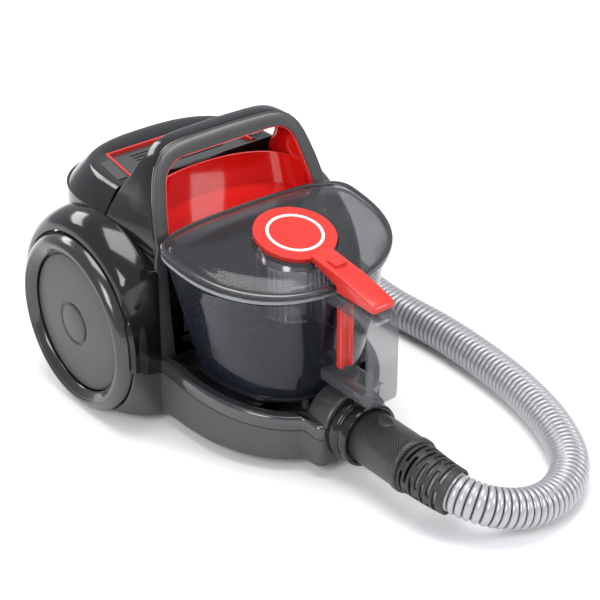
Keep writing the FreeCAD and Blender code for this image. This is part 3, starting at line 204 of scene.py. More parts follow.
# ---------------------------------------------------------------- modelling helpers
WELD = 1e-6
SMOOTH_CORNER = 40.0  # degrees: shallower corners are shaded smooth


def edges_between(bm, row, closed=True):
    """The edges that join each vertex of a row to the next."""
    pairs = zip(row, row[1:] + row[:1]) if closed else zip(row, row[1:])
    return [bm.edges.get(pair) for pair in pairs]


def ring(bm, points):
    """A closed row of vertices through the points."""
    row = bmesh.ops.create_circle(bm, segments=len(points), radius=1)["verts"]
    for vertex, point in zip(row, points):
        vertex.co = point
    return row


def climb(bm, row, points, closed=True):
    """Extrudes a row of vertices to its next place."""
    made = bmesh.ops.extrude_edge_only(bm, edges=edges_between(bm, row, closed))["geom"]
    fresh = {item for item in made if isinstance(item, bmesh.types.BMVert)}
    following = []
    for vertex, point in zip(row, points):
        twin = next(edge.other_vert(vertex) for edge in vertex.link_edges
                    if edge.other_vert(vertex) in fresh)
        twin.co = point
        following.append(twin)
    return following


def lofted(rows, cap_first=True, cap_last=True):
    """A skin through closed rows of points, with flat ends where asked."""
    bm = bmesh.new()
    row = ring(bm, rows[0])
    if cap_first:
        bmesh.ops.contextual_create(bm, geom=edges_between(bm, row))
    for points in rows[1:]:
        row = climb(bm, row, points)
    if cap_last:
        bmesh.ops.contextual_create(bm, geom=edges_between(bm, row))
    return bm


def line(bm, points):
    """An open row of vertices, joined by edges."""
    row = [bm.verts.new(point) for point in points]
    for pair in zip(row, row[1:]):
        bm.edges.new(pair)
    return row


def draped(rows):
    """A skin through open rows of points."""
    bm = bmesh.new()
    row = line(bm, rows[0])
    for points in rows[1:]:
        row = climb(bm, row, points, closed=False)
    return bm


def spun(points, centre, axis, steps=96):
    """A profile turned once round an axis."""
    bm = bmesh.new()
    line(bm, points)
    bmesh.ops.spin(bm, geom=bm.verts[:] + bm.edges[:], cent=centre, axis=axis, angle=math.tau,
                   steps=steps, use_merge=True, use_duplicate=False)
    return bm


def soften(bm, width, segments, corner):
    """Rounds the edges that turn by more than the corner angle."""
    bmesh.ops.remove_doubles(bm, verts=bm.verts, dist=WELD)
    bm.normal_update()
    hard = [edge for edge in bm.edges if len(edge.link_faces) == 2
            and edge.calc_face_angle(0) > math.radians(corner)]
    bmesh.ops.bevel(bm, geom=hard, offset=width, offset_type="OFFSET", segments=segments,
                    profile=0.5, affect="EDGES", material=-1, clamp_overlap=True)
    return bm


def slice_off(bm, point, normal, close=True):
    """Removes what lies beyond a plane, on the side that the normal points to."""
    made = bmesh.ops.bisect_plane(bm, geom=bm.verts[:] + bm.edges[:] + bm.faces[:], plane_co=point,
                                  plane_no=normal, clear_outer=True)
    if close:
        rim = [item for item in made["geom_cut"] if isinstance(item, bmesh.types.BMEdge)]
        bmesh.ops.holes_fill(bm, edges=[edge for edge in rim if edge.is_valid], sides=0)


def piece(name, bm, material, body, stands_for, smooth=SMOOTH_CORNER, wall=0.0,
          wall_offset=-1.0, bevel=0.0):
    """Turns a bmesh into a finished piece that rides on a body."""
    bmesh.ops.remove_doubles(bm, verts=bm.verts, dist=WELD)
    bmesh.ops.recalc_face_normals(bm, faces=bm.faces)
    mesh = bpy.data.meshes.new(name)
    bm.to_mesh(mesh)
    bm.free()
    mesh.materials.append(material)
    made = bpy.data.objects.new(name, mesh)
    scene.collection.objects.link(made)
    if wall:
        solid = made.modifiers.new("wall", "SOLIDIFY")
        solid.thickness = wall
        solid.offset = wall_offset
    if bevel:
        round_off = made.modifiers.new("edges", "BEVEL")
        round_off.width = bevel
        round_off.segments = 2
        round_off.limit_method = "ANGLE"
        round_off.angle_limit = math.radians(40)
    mesh.shade_smooth()
    mesh.set_sharp_from_angle(angle=math.radians(smooth))
    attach(made, body)
    if stands_for:
        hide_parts(*stands_for)
    return made


# ---------------------------------------------------------------- hose
HOSE_ROUTE = [
    (0, -.2725, .0475), (0, -.3255, .0455), (.045, -.3565, .030), (.100, -.3535, .0215),
    (.150, -.3225, .0205), (.182, -.2675, .0205), (.203, -.2015, .0205), (.214, -.1275, .0205),
    (.218, -.0515, .0205), (.212, .0245, .0205), (.220, .0985, .0205), (.236, .1725, .0205),
    (.271, .2375, .0205), (.291, .3065, .0205), (.273, .3665, .0205), (.231, .4025, .0205),
    (.177, .4085, .0205), (.130, .3855, .0205), (.099, .3455, .0205)]
HOSE_R = 0.020
RIB_PITCH = 0.0068
RIB_DEPTH = 0.0026


def route_points(route):
    """Points along the smooth line that has the route as its control points."""
    curve = bpy.data.curves.new("hose_line", "CURVE")
    curve.dimensions = "3D"
    curve.resolution_u = 24
    spline = curve.splines.new("NURBS")
    spline.points.add(len(route) - 1)
    for control, place in zip(spline.points, route):
        control.co = (*place, 1)
    spline.order_u = 3
    spline.use_endpoint_u = True
    line_object = bpy.data.objects.new("hose_line", curve)
    mesh = bpy.data.meshes.new_from_object(line_object)
    points = [vertex.co.copy() for vertex in mesh.vertices]
    bpy.data.objects.remove(line_object)
    bpy.data.meshes.remove(mesh)
    bpy.data.curves.remove(curve)
    return points


class Track:
    """Places along the hose's line, each with its own square axes."""

    def __init__(self, points):
        self.points = points
        self.reach = [0.0]
        for before, after in zip(points, points[1:]):
            self.reach.append(self.reach[-1] + (after - before).length)
        self.length = self.reach[-1]
        ways = [(after - before).normalized() for before, after in zip(points, points[1:])]
        ways.append(ways[-1])
        side = Vector((1, 0, 0))
        self.axes = []
        for way in ways:
            side = (side - way * side.dot(way)).normalized()
            self.axes.append((side.copy(), way.cross(side), way))

    def at(self, distance, across, up):
        """The point this far along, moved across and up from the line."""
        distance = min(max(distance, 0.0), self.length)
        low, high = 0, len(self.reach) - 1
        while high - low > 1:
            middle = (low + high) // 2
            if self.reach[middle] <= distance:
                low = middle
            else:
                high = middle
        share = (distance - self.reach[low]) / max(self.reach[high] - self.reach[low], 1e-9)
        centre = self.points[low].lerp(self.points[high], share)
        side = self.axes[low][0].lerp(self.axes[high][0], share)
        other = self.axes[low][1].lerp(self.axes[high][1], share)
        return centre + side * across + other * up


track = Track(route_points(HOSE_ROUTE))


def ribbed_hose():
    """A straight ribbed tube, laid along the line once it is spun."""
    ribs = int(track.length / RIB_PITCH)
    rib_shape = ((0.0, 0.0), (0.12, 0.55), (0.28, 0.94), (0.5, 1.0), (0.72, 0.94), (0.88, 0.55))
    profile = []
    for rib in range(ribs):
        for share, height in rib_shape:
            profile.append(((rib + share) * track.length / ribs, height))
    profile.append((track.length, 0.0))
    bm = spun([Vector((HOSE_R - RIB_DEPTH * (1 - height), 0, distance))
               for distance, height in profile], (0, 0, 0), (0, 0, 1), steps=36)
    # crest: 0 at the bottom of a trough, 1 on a rib's crest; the hose's finish paints shade into the
    # troughs by it.
    crest = bm.verts.layers.float.new("crest")
    for vertex in bm.verts:
        out = math.hypot(vertex.co.x, vertex.co.y)
        vertex[crest] = 1 - (HOSE_R - out) / RIB_DEPTH
        vertex.co = track.at(vertex.co.z, vertex.co.x, vertex.co.y)
    return bm


hose = piece("hose_ribbed", ribbed_hose(), hose_painted_trough_shade, "housing", ["hose"], smooth=70)


# ---------------------------------------------------------------- floor and lights
floor_bm = bmesh.new()
bmesh.ops.create_grid(floor_bm, x_segments=8, y_segments=8, size=6)
floor_mesh = bpy.data.meshes.new("floor")
floor_bm.to_mesh(floor_mesh)
floor_bm.free()
floor = bpy.data.objects.new("floor", floor_mesh)
scene.collection.objects.link(floor)
floor_mesh.materials.append(shader("floor_white", (0.93, 0.93, 0.93), 0.75, mottle=0.0,
                                   specular=0.15, rough_swing=0.0))


def soft_light(name, place, aim, size, power):
    """A wide lamp, turned to face the point that it is aimed at."""
    data = bpy.data.lights.new(name, "AREA")
    data.shape = "RECTANGLE"
    data.size, data.size_y = size
    data.energy = power
    lamp = bpy.data.objects.new(name, data)
    lamp.location = place
    lamp.rotation_mode = "QUATERNION"
    lamp.rotation_quaternion = (Vector(aim) - Vector(place)).to_track_quat("-Z", "Y")
    scene.collection.objects.link(lamp)


soft_light("overhead", (0.1, 0.1, 2.3), (0, 0, 0.1), (1.5, 1.3), 42)
soft_light("key_left", (-2.0, -0.9, 1.5), (0, 0, 0.12), (0.9, 1.2), 34)
soft_light("front_right", (1.3, -2.2, 1.5), (0, 0, 0.1), (1.0, 1.1), 30)
soft_light("behind", (-0.4, 2.4, 1.7), (0, 0, 0.15), (1.6, 0.7), 26)
world = bpy.data.worlds.new("studio")
world.use_nodes = True
world.node_tree.nodes["Background"].inputs["Color"].default_value = (0.93, 0.95, 1.0, 1)
world.node_tree.nodes["Background"].inputs["Strength"].default_value = 0.62
scene.world = world


# ---------------------------------------------------------------- rear wheels
def wheel_point(side, out, radius):
    """A point above the axle, out from the wheel's inner face."""
    return at(side * (121 + out), 0, AXLE_Z + radius)


AXLE = at(0, 0, AXLE_Z)
ACROSS = (1, 0, 0)
ALONG = (0, 1, 0)
# Profiles: (out from the wheel's inner face, radius). The tyre's and the disc's are closed.
TYRE = [(0.4, 77), (0.4, 89.5), (1.2, 92.4), (3.2, 94.4), (6, 95), (21, 95), (26, 94.5), (29.8, 93),
        (33, 90.4), (35, 87.4), (35.8, 84.8), (35.6, 83.6), (34.8, 82.9), (34.3, 82.4), (34.4, 81.8),
        (34.0, 81.2), (33.2, 80.3), (30.6, 77.2), (28.9, 75.4), (27.8, 74.7), (26.6, 74.6),
        (25.6, 75.2), (25.2, 77), (0.4, 77)]
DISC = [(8, 20), (8, 74), (24.5, 74), (25.6, 73.7), (26.3, 72.8), (27.2, 70), (28.3, 62), (29.2, 50),
        (29.9, 38), (30.3, 28), (30.4, 25), (30.2, 23.8), (29.5, 23.1), (28.8, 22.4), (28.7, 21.6),
        (28.7, 6), (8, 6), (8, 20)]
CAP = [(27.6, 6), (27.6, 20.6), (29.6, 20.6), (30.4, 20.2), (30.9, 19.2), (31.5, 15), (32.0, 9),
       (32.2, 0)]
for side, word in ((-1, "left"), (1, "right")):
    body = "wheel_" + word
    tyre, disc, cap = (spun([wheel_point(side, *place) for place in profile], AXLE, ACROSS)
                       for profile in (TYRE, DISC, CAP))
    piece("tyre_ring_" + word, tyre, tyre_black, body, ["tyre_" + word], smooth=50)
    piece("disc_face_" + word, disc, disc_grey, body, ["wheel_disc_" + word])
    piece("hub_dome_" + word, cap, disc_grey, body, ["hub_cap_" + word])


# ---------------------------------------------------------------- gloss fenders
def fender(side):
    """A crowned band from the wheel's rim to the flank, flattening into the leg at its front."""
    outer_x, inner_x = 145.0, 104.0
    rim, crown, flank_ahead = 97.8, 118.5, 87.4
    around_steps, across_steps = 60, 12
    lip_in, lip_drop = 0.0022, 0.0004
    rows = []
    for i in range(around_steps + 1):
        share = i / around_steps
        points = []
        for k in range(across_steps + 1):
            s = k / across_steps
            turn = math.radians(190 + (-9.0 - 12.6 * s - 190) * share)
            level = math.cos(turn)
            inner = crown if level < 0.6 else min(crown, flank_ahead / level)
            gain = inner - rim
            rounded = math.sin(s * math.pi / 2) ** 0.9
            flat = 1 - math.cos(s * math.pi / 2)
            blend = min(1.0, max(0.0, (gain + 8) / 20))
            grow = rounded * blend + flat * (1 - blend)
            radius = rim + gain * grow
            out = outer_x - (outer_x - inner_x) * (1 - math.cos(s * math.pi / 2) ** 0.9)
            points.append(at(side * out, radius * math.cos(turn), AXLE_Z + radius * math.sin(turn)))
        lip = points[0] + (AXLE + Vector((points[0].x, 0, 0)) - points[0]).normalized() * lip_drop
        rows.append([lip - Vector((side * lip_in, 0, 0))] + points)
    return draped(rows)


for side, word in ((-1, "left"), (1, "right")):
    piece("fender_band_" + word, fender(side), shell_black, "housing", ["fender_" + word],
          smooth=60, wall=0.0024, bevel=0.0008)


# ---------------------------------------------------------------- hose port, connector and sleeve
def port_point(radius, ahead):
    """A point above the port's axis."""
    return at(0, ahead, PORT_Z + radius)


PORT_AXIS = at(0, 0, PORT_Z)
# Closed profiles: (radius, ahead).
COLLAR = [(22, 262), (29.2, 262), (29.2, 266.2), (34.6, 266.2), (35.3, 267), (35.3, 276), (34.6, 277.4),
          (33.2, 278.2), (32.8, 279.4), (33.0, 280.4), (33.3, 281.4), (33.3, 289.4), (32.6, 291),
          (31, 291.6), (29.4, 291.4), (28.6, 290), (28.4, 286), (22, 286), (22, 262)]
TUBE = [(18, 286.4), (27.2, 286.4), (27.6, 287), (27.6, 349.6), (28.4, 350.2), (28.8, 351.2), (28.8, 356.4),
        (28.2, 357.6), (27, 358.4), (20.8, 358.6), (20.8, 352), (18, 352), (18, 286.4)]
TUBE_RADIUS = 27.6
piece("port_collar", spun([port_point(*place) for place in COLLAR], PORT_AXIS, ALONG, steps=72),
      shell_black, "housing", ["inlet_collar"], smooth=45)


def grip_texture(material):
    """A fine raised chequer round the tube, on its own axis."""
    tree = material.node_tree
    main = tree.nodes["Principled BSDF"]
    coordinates = tree.nodes.new("ShaderNodeTexCoord")
    centred = tree.nodes.new("ShaderNodeMapping")
    centred.inputs["Location"].default_value = (0, 0, -PORT_Z * 0.001)
    tree.links.new(coordinates.outputs["Object"], centred.inputs["Vector"])
    parts = tree.nodes.new("ShaderNodeSeparateXYZ")
    tree.links.new(centred.outputs["Vector"], parts.inputs["Vector"])
    turn = tree.nodes.new("ShaderNodeMath")
    turn.operation = "ARCTAN2"
    tree.links.new(parts.outputs["Z"], turn.inputs[0])
    tree.links.new(parts.outputs["X"], turn.inputs[1])
    wrapped = tree.nodes.new("ShaderNodeMath")
    wrapped.operation = "MULTIPLY"
    wrapped.inputs[1].default_value = TUBE_RADIUS * 0.001
    tree.links.new(turn.outputs[0], wrapped.inputs[0])
    laid = tree.nodes.new("ShaderNodeCombineXYZ")
    tree.links.new(wrapped.outputs[0], laid.inputs["X"])
    tree.links.new(parts.outputs["Y"], laid.inputs["Y"])
    checks = tree.nodes.new("ShaderNodeTexChecker")
    checks.inputs["Scale"].default_value = 520
    checks.inputs["Color1"].default_value = (0.008, 0.008, 0.009, 1)
    checks.inputs["Color2"].default_value = (0.045, 0.045, 0.048, 1)
    tree.links.new(laid.outputs["Vector"], checks.inputs["Vector"])
    tree.links.new(checks.outputs["Color"], main.inputs["Base Color"])
    relief = tree.nodes.new("ShaderNodeBump")
    relief.inputs["Strength"].default_value = 0.6
    relief.inputs["Distance"].default_value = 0.0005
    tree.links.new(checks.outputs["Fac"], relief.inputs["Height"])
    tree.links.new(relief.outputs["Normal"], main.inputs["Normal"])
    return material


chequer_black = grip_texture(shader("chequer_black", (0.02, 0.02, 0.02), 0.36))
tube_piece = piece("connector_tube", spun([port_point(*place) for place in TUBE], PORT_AXIS, ALONG),
                   chequer_black, "housing", ["hose_connector"])


def oval_key():
    """A raised oval with a hollow in its top."""
    half_wide, half_long, middle, corners = 6.9, 10.9, 313, 32
    rows = []
    for scale, height in ((1.0, 25.0), (1.0, 28.6), (0.94, 29.6), (0.82, 30.0), (0.7, 29.7), (0.4, 29.4)):
        rows.append([at(half_wide * scale * math.cos(math.tau * i / corners),
                        middle - half_long * scale * math.sin(math.tau * i / corners),
                        PORT_Z + height) for i in range(corners)])
    return lofted(rows)


button = piece("connector_key", oval_key(), connector_black, "hose_key", ["connector_button"],
               smooth=50)


def slotted_sleeve():
    """A tapering sleeve with staggered slots, laid along the start of the hose."""
    rows, columns = 17, 48
    wide_end, taper = 26.2, 2.6
    start, hose_start, end = 359.4, 371.0, 410.0
    profile = []
    for row in range(rows):
        share = row / (rows - 1)
        profile.append(Vector((0.001 * (wide_end - taper * share), 0, 0.001 * (end - start) * share)))
    bm = spun(profile, (0, 0, 0), (0, 0, 1), steps=columns)
    opened = []
    for face in bm.faces:
        middle = face.calc_center_median()
        row = int(middle.z * 1000 / ((end - start) / (rows - 1)))
        column = int((math.atan2(middle.y, middle.x) / math.tau % 1.0) * columns)
        shift = 6 if row % 4 == 1 else 0
        if row % 2 == 1 and row < rows - 2 and (column + shift) % 12 >= 3:
            opened.append(face)
    bmesh.ops.delete(bm, geom=opened, context="FACES")
    lead = (start - hose_start) * 0.001
    for vertex in bm.verts:
        spot = vertex.co.copy()
        distance = spot.z + lead
        if distance < 0:
            centre = track.at(0, spot.x, spot.y)
            vertex.co = centre + Vector((0, 1, 0)) * -distance
        else:
            vertex.co = track.at(distance, spot.x, spot.y)
    return bm


sleeve = piece("bend_sleeve", slotted_sleeve(), rubber_black, "housing", ["hose_sleeve"],
               wall=0.0026, smooth=50, bevel=0.0005)


# ---------------------------------------------------------------- base, band and tray
NOSE_FOOT, NOSE_TIP, NOSE_HALF = 105, 252, 103
SEAM_SLOPE = 0.0912


def nose_half(ahead, inset):
    """Half the width of the rounded nose at a distance ahead of the axle."""
    tip, half = NOSE_TIP - inset, NOSE_HALF - inset
    share = min(1.0, max(0.0, (ahead - NOSE_FOOT) / (tip - NOSE_FOOT)))
    return half * (1 - share ** 2.5) ** (1 / 2.2)


def seam(ahead, lift=0.0):
    """The height of the seam between the base and the band, which falls towards the nose."""
    return 68.5 - SEAM_SLOPE * ahead + lift


def resampled(points, count):
    """The same line with this many points, spread evenly along it."""
    reach = [0.0]
    for a, b in zip(points, points[1:]):
        reach.append(reach[-1] + math.dist(a, b))
    made = []
    for i in range(count):
        goal = reach[-1] * i / (count - 1)
        index = max(j for j in range(len(points) - 1) if reach[j] <= goal + 1e-9)
        share = (goal - reach[index]) / max(reach[index + 1] - reach[index], 1e-9)
        a, b = points[index], points[index + 1]
        made.append((a[0] + (b[0] - a[0]) * share, a[1] + (b[1] - a[1]) * share))
    return made


def nose_side(inset, port=True):
    """The right half of the nose's plan from its foot to its middle: (across, ahead) pairs."""
    foot_half, port_root, port_half, port_front = 105, 50, 43, 266
    points = [(foot_half - inset, 86), (NOSE_HALF - inset, NOSE_FOOT)]
    tip = NOSE_TIP - inset
    steps = 22
    for i in range(1, steps + 1):
        share = math.sin(math.pi / 2 * i / steps) ** 0.85
        if port and nose_half(NOSE_FOOT + (NOSE_TIP - NOSE_FOOT) * share, 0) < port_root:
            break
        ahead = NOSE_FOOT + (tip - NOSE_FOOT) * share
        points.append((nose_half(ahead, inset), ahead))
    if port:
        edge, front = port_half - inset, port_front - inset
        join = points[-1][1]
        points += [(edge + 3.2, join + 4.5), (edge + 0.8, join + 8), (edge, front - 7),
                   (edge - 1.6, front - 3), (edge - 5, front - 0.6), (edge - 9, front),
                   (edge - 22, front), (0, front)]
    return points


def both_sides(points):
    """Adds the left half to a right half that ends on the middle."""
    return points + [(-x, ahead) for x, ahead in reversed(points[:-1])]


def rear_side(inset):
    """The right half of the plan behind the feet, from the middle of the tail to the foot."""
    half, tail = 118 - inset, 115 - inset
    points = []
    steps = 16
    for i in range(steps, 0, -1):
        angle = math.pi / 2 * i / steps
        across = math.cos(angle) ** (2 / 2.6) if i < steps else 0.0
        points.append((half * across, -tail * math.sin(angle) ** (2 / 3.0)))
    return points + [(half, 0), (111.5 - inset, 43)]


def base_plan(inset):
    """The base's whole outline, as (across, ahead) pairs."""
    right_half = rear_side(inset) + nose_side(inset)
    return right_half + [(-x, ahead) for x, ahead in reversed(right_half[1:-1])]


WELL_AHEAD, WELL_R, WELL_TOP = 190, 28.0, 30.5


def well_ring(radius, z):
    """A circle round the caster's stem, each point on the line to its place in the plan."""
    points = []
    for x, ahead in base_plan(8):
        angle = math.atan2(ahead - WELL_AHEAD, x)
        points.append(at(radius * math.cos(angle), WELL_AHEAD + radius * math.sin(angle), z))
    return points


def base_shell():
    """Up the inside of the caster's well, out under the floor and up round the outside."""
    def row(inset, height):
        return [at(x, ahead, height(ahead)) for x, ahead in base_plan(inset)]
    stem = 4.3
    rows = [well_ring(stem, WELL_TOP), well_ring(WELL_R - 0.8, WELL_TOP), well_ring(WELL_R, WELL_TOP - 1),
            well_ring(WELL_R, 12.6), well_ring(WELL_R + 1.2, 11.5),
            row(5, lambda ahead: 11.5), row(2.5, lambda ahead: 12.0), row(0.8, lambda ahead: 13.6),
            row(0, lambda ahead: 16.2), row(0, lambda ahead: seam(ahead, -1.5)),
            row(0.5, lambda ahead: seam(ahead, -0.5)), row(1.4, lambda ahead: seam(ahead, -0.2)),
            row(6.0, lambda ahead: seam(ahead, -0.2)), row(6.0, lambda ahead: seam(ahead, -16))]
    return lofted(rows, cap_first=False, cap_last=False)


def cheek(side):
    """The matt panel in front of each wheel, from the floor up to the fender's foot."""
    inner_x, outer_x, flat = 103.0, 143.0, 4
    foot_z, top_in, top_out = 12.2, 60.5, 79.4
    face, wheel_gap_radius = 86.2, 98.2
    levels, across_steps = 14, 6
    rows = []
    for i in range(levels + 1):
        share = i / levels
        z_in, z_out = foot_z + (top_in - foot_z) * share, foot_z + (top_out - foot_z) * share
        reach = math.sqrt(wheel_gap_radius ** 2 - (AXLE_Z - z_out) ** 2)
        front = [(inner_x, 86.4, z_in), (inner_x + flat, face, z_in)]
        for k in range(1, across_steps + 1):
            s = k / across_steps
            x = inner_x + flat + (outer_x - inner_x - flat) * s
            lift = z_in + (z_out - z_in) * s
            bulge = 5.0 * math.sin(math.pi * s) * (1 - share)
            front.append((x, face + (reach - face) * s ** 1.4 + bulge, lift))
        tail = [(outer_x, reach - 2.4, z_out), (inner_x, min(reach, 86.4) - 6, z_in)]
        rows.append([at(side * x, ahead, z) for x, ahead, z in front + tail])
    return soften(lofted(rows), 0.0012, 2, 50)


def port_hood():
    """The rounded cowl over the hose port, on the band's front."""
    profile = [(36.6, 236), (37.3, 239), (37.3, 262.5), (36.9, 264.4), (35.6, 265.7), (33.8, 266),
               (29.6, 266), (29.6, 245)]
    bm = spun([port_point(*place) for place in profile], PORT_AXIS, ALONG, steps=72)
    slice_off(bm, at(0, 266, seam(266)), (0, SEAM_SLOPE, -1), close=False)
    return bm


def band():
    """The gloss rim: up from the seam, over a rounded edge and down inside."""
    count = len(nose_side(0))
    outside = ((4, 0.2), (1.2, 0.2), (0.4, 0.5), (0, 1.4), (0, 11.6), (0.5, 13.5), (1.8, 14.7),
               (3.6, 15))
    inside = ((10.2, 15), (10.9, 14.6), (11.2, 13.6), (11.4, 9), (11.6, -4))
    plans = [(nose_side(inset), lift) for inset, lift in outside]
    plans += [(resampled(nose_side(inset, port=False), count), lift) for inset, lift in inside]
    return draped([[at(x, ahead, seam(ahead, lift)) for x, ahead in both_sides(plan)]
                   for plan, lift in plans])


piece("base_shell", base_shell(), base_grey, "housing", ["base_chassis"])
for side, word in ((-1, "left"), (1, "right")):
    piece("cheek_" + word, cheek(side), base_grey, "housing", [])
piece("gloss_band", band(), band_gloss, "housing", ["bin_surround"])
piece("port_cowl", port_hood(), face_grey, "housing", [])


# ---------------------------------------------------------------- carrying handle
LEAN = math.tan(math.radians(19))
KNEE_Z, KNEE_BEND = 205.0, 20
FACE_LOW, FACE_KNEE = 86.0, 92.0
FACE_THICK, FACE_GAP = 4, 0.1


def face_ahead(z):
    """How far ahead the handle's satin face stands at a height."""
    if z <= KNEE_Z - KNEE_BEND:
        return FACE_LOW
    if z <= KNEE_Z:
        return FACE_LOW + (FACE_KNEE - FACE_LOW) * (z - KNEE_Z + KNEE_BEND) / KNEE_BEND
    return FACE_KNEE - LEAN * (z - KNEE_Z)


def graded(table, value):
    """Reads a value off a table of (place, value) pairs, straight between them."""
    if value <= table[0][0]:
        return table[0][1]
    for (low, near), (high, far) in zip(table, table[1:]):
        if value <= high:
            return near + (far - near) * (value - low) / (high - low)
    return table[-1][1]


# (height outside, half-width outside, height inside, half-width inside), from the foot up
ARCH = [(60.8, 105.6, 60.8, 84), (120, 105.8, 120, 88.5), (185, 106, 185, 92), (196, 106.3, 196, 92.4),
        (205, 106.4, 205, 92.5), (212, 106.0, 212, 91), (222, 104.6, 222, 89.2), (232, 102.9, 232, 87.4),
        (242, 100.7, 241, 85.4), (250, 98.4, 248, 83.6), (259, 95.8, 255.5, 81.8), (268, 92.6, 262, 79.9),
        (276, 88.6, 268, 77.2), (282, 84.0, 272.6, 73.6), (287, 78.4, 276, 69), (290.6, 72.0, 278.4, 63.5),
        (293, 64.6, 279.6, 57.5), (294.6, 55, 280, 50), (295.4, 40, 280, 38), (295.8, 20, 280, 20),
        (296, 0, 280, 0)]
# (height, how far ahead the arch's rear edge stands) and (height, half-width at that edge)
REAR_AHEAD = [(188, 12.0), (224, 12.0), (236, 16), (246, 22.5), (255, 29), (263, 33), (270, 36),
              (276, 38.6), (283, 42), (290, 39.5), (296, 37)]
REAR_HALF = [(188, 116.2), (209, 116.2), (211.6, 115.6), (214, 114.4), (222, 109.6), (229.6, 104.8),
             (235.2, 101.6), (238, 101)]


def arch_stations():
    """The arch's stations from the right foot over the top to the left foot, with their side."""
    return [(side, values) for side, run in ((1, ARCH), (-1, ARCH[-2::-1])) for values in run]


def face_rows():
    """A four-cornered section of the satin face at each station."""
    rows = []
    for side, (z_out, x_out, z_in, x_in) in arch_stations():
        rows.append([
            at(side * x_out, face_ahead(z_out), z_out), at(side * x_in, face_ahead(z_in), z_in),
            at(side * x_in, face_ahead(z_in) - FACE_THICK, z_in),
            at(side * x_out, face_ahead(z_out) - FACE_THICK, z_out)])
    return rows


piece("handle_face", soften(lofted(face_rows()), 0.0016, 3, 40), face_grey, "housing",
      ["handle_trim"])


def arch_rows():
    """A six-cornered section of the black arch at each station above its feet."""
    rows = []
    for side, (z_out, x_out, z_in, x_in) in arch_stations():
        if z_out < 180:
            continue
        front_out, front_in = (face_ahead(z) - (FACE_THICK + FACE_GAP) for z in (z_out, z_in))
        rear_out = graded(REAR_AHEAD, z_out)
        rear_in = rear_out + 0.8
        rear_x = max(x_out, graded(REAR_HALF, z_out)) if z_out <= 238 else x_out
        front_x = x_out - 0.3
        inside = x_in + 0.4 if x_in else 0
        rows.append([
            at(side * front_x, front_out, z_out - 0.2), at(side * inside, front_in, z_in + 0.3),
            at(side * inside, (front_in + rear_in) / 2, z_in + 0.3),
            at(side * inside, rear_in, z_in + 0.3),
            at(side * rear_x, rear_out, z_out - 0.5),
            at(side * (front_x + (rear_x - front_x) * 0.5), (front_out + rear_out) / 2, z_out)])
    return rows


def black_arch():
    """The arch, cut off at its feet along the top of the rear dome."""
    bm = lofted(arch_rows())
    slice_off(bm, at(0, -16, 214.9), (0, 0.247, -1))
    return soften(bm, 0.0024, 3, 42)


def arch_lining():
    """A thin red skin on the inside of the arch, from its face back to its rear edge."""
    steps = 6
    rows = []
    for side, (z_out, _, z_in, x_in) in arch_stations():
        if z_out < KNEE_Z:
            continue
        front, rear = face_ahead(z_in) - 0.5, graded(REAR_AHEAD, z_out) + 2.5
        x = side * (x_in - 0.3 if x_in else 0)
        rows.append([at(x, front + (rear - front) * i / steps, z_in - 0.3) for i in range(steps + 1)])
    return draped(rows)


piece("arch_lining", arch_lining(), liner_red, "housing", [], smooth=35, wall=0.0008,
      wall_offset=0.0)
piece("arch_shell", black_arch(), shell_black, "housing", ["handle_arch"], smooth=45)


# ---------------------------------------------------------------- rear cover
def dome_plan(front_half, half, rear):
    """A closed plan with the same number of points for every size."""
    front_ahead = 12.0
    points = [(front_half * (i / 4 - 1), front_ahead) for i in range(8)] + [(front_half, front_ahead)]
    slant = [(front_half + (half - front_half) * i / 4, front_ahead * (1 - i / 4)) for i in range(1, 4)]
    points += slant
    steps = 44
    for i in range(steps + 1):
        angle = math.pi * i / steps
        across = math.copysign(abs(math.cos(angle)) ** (2 / 2.6), math.cos(angle))
        along = math.sin(angle) ** (2 / 3.0) if 0 < i < steps else 0
        points.append((half * across, -rear * along))
    return points + [(-x, ahead) for x, ahead in reversed(slant)]


def panel_plan(grow):
    """The exhaust panel's outline, point for point with the dome's plans."""
    front_half, rear_half = 76 + grow, 66 + grow
    front, rear = 8 + grow, -58 - grow
    round_off = 6.0
    corner = [(rear_half - round_off * (1 - math.cos(math.pi / 2 * i / 6)),
               rear + round_off * (1 - math.sin(math.pi / 2 * i / 6))) for i in range(7)]
    half_line = resampled([(front_half, front)] + corner + [(0, rear)], 27)
    points = [(front_half * (i / 4 - 1), front) for i in range(8)] + half_line
    return points + [(-x, ahead) for x, ahead in reversed(half_line[1:-1])]


def dome():
    """Up the flanks, over the rounded shoulder and down into the exhaust panel's recess."""
    levels = [(116.2, 118, 113.6, 205), (116.2, 118, 113.4, 209), (115.6, 117.6, 112.8, 211.6),
              (114.4, 116.4, 111, 214), (109.6, 110.8, 104.8, 222), (104.8, 105, 98.2, 229.6),
              (101.2, 100.6, 92.8, 235.0), (99.6, 98.8, 90.4, 237.0), (97.6, 96.6, 87.8, 238.2),
              (93, 92, 83, 238.6)]
    recess = ((1.6, 238.6), (0.9, 238.2), (0.6, 237.4), (0.6, 226))
    rows = [[at(x, ahead, z) for x, ahead in dome_plan(front_half, half, rear)]
            for front_half, half, rear, z in levels]
    rows += [[at(x, ahead, z) for x, ahead in panel_plan(grow)] for grow, z in recess]
    return lofted(rows, cap_first=False)


piece("rear_dome", dome(), shell_black, "housing", ["rear_cover"], smooth=32)


# ---------------------------------------------------------------- dust bin and its lid
BIN_LOW = 71.2
DISC_AHEAD = 173
LID_SLOPE = 0.1228  # the tangent of seven degrees
EGG_POINTS = 72


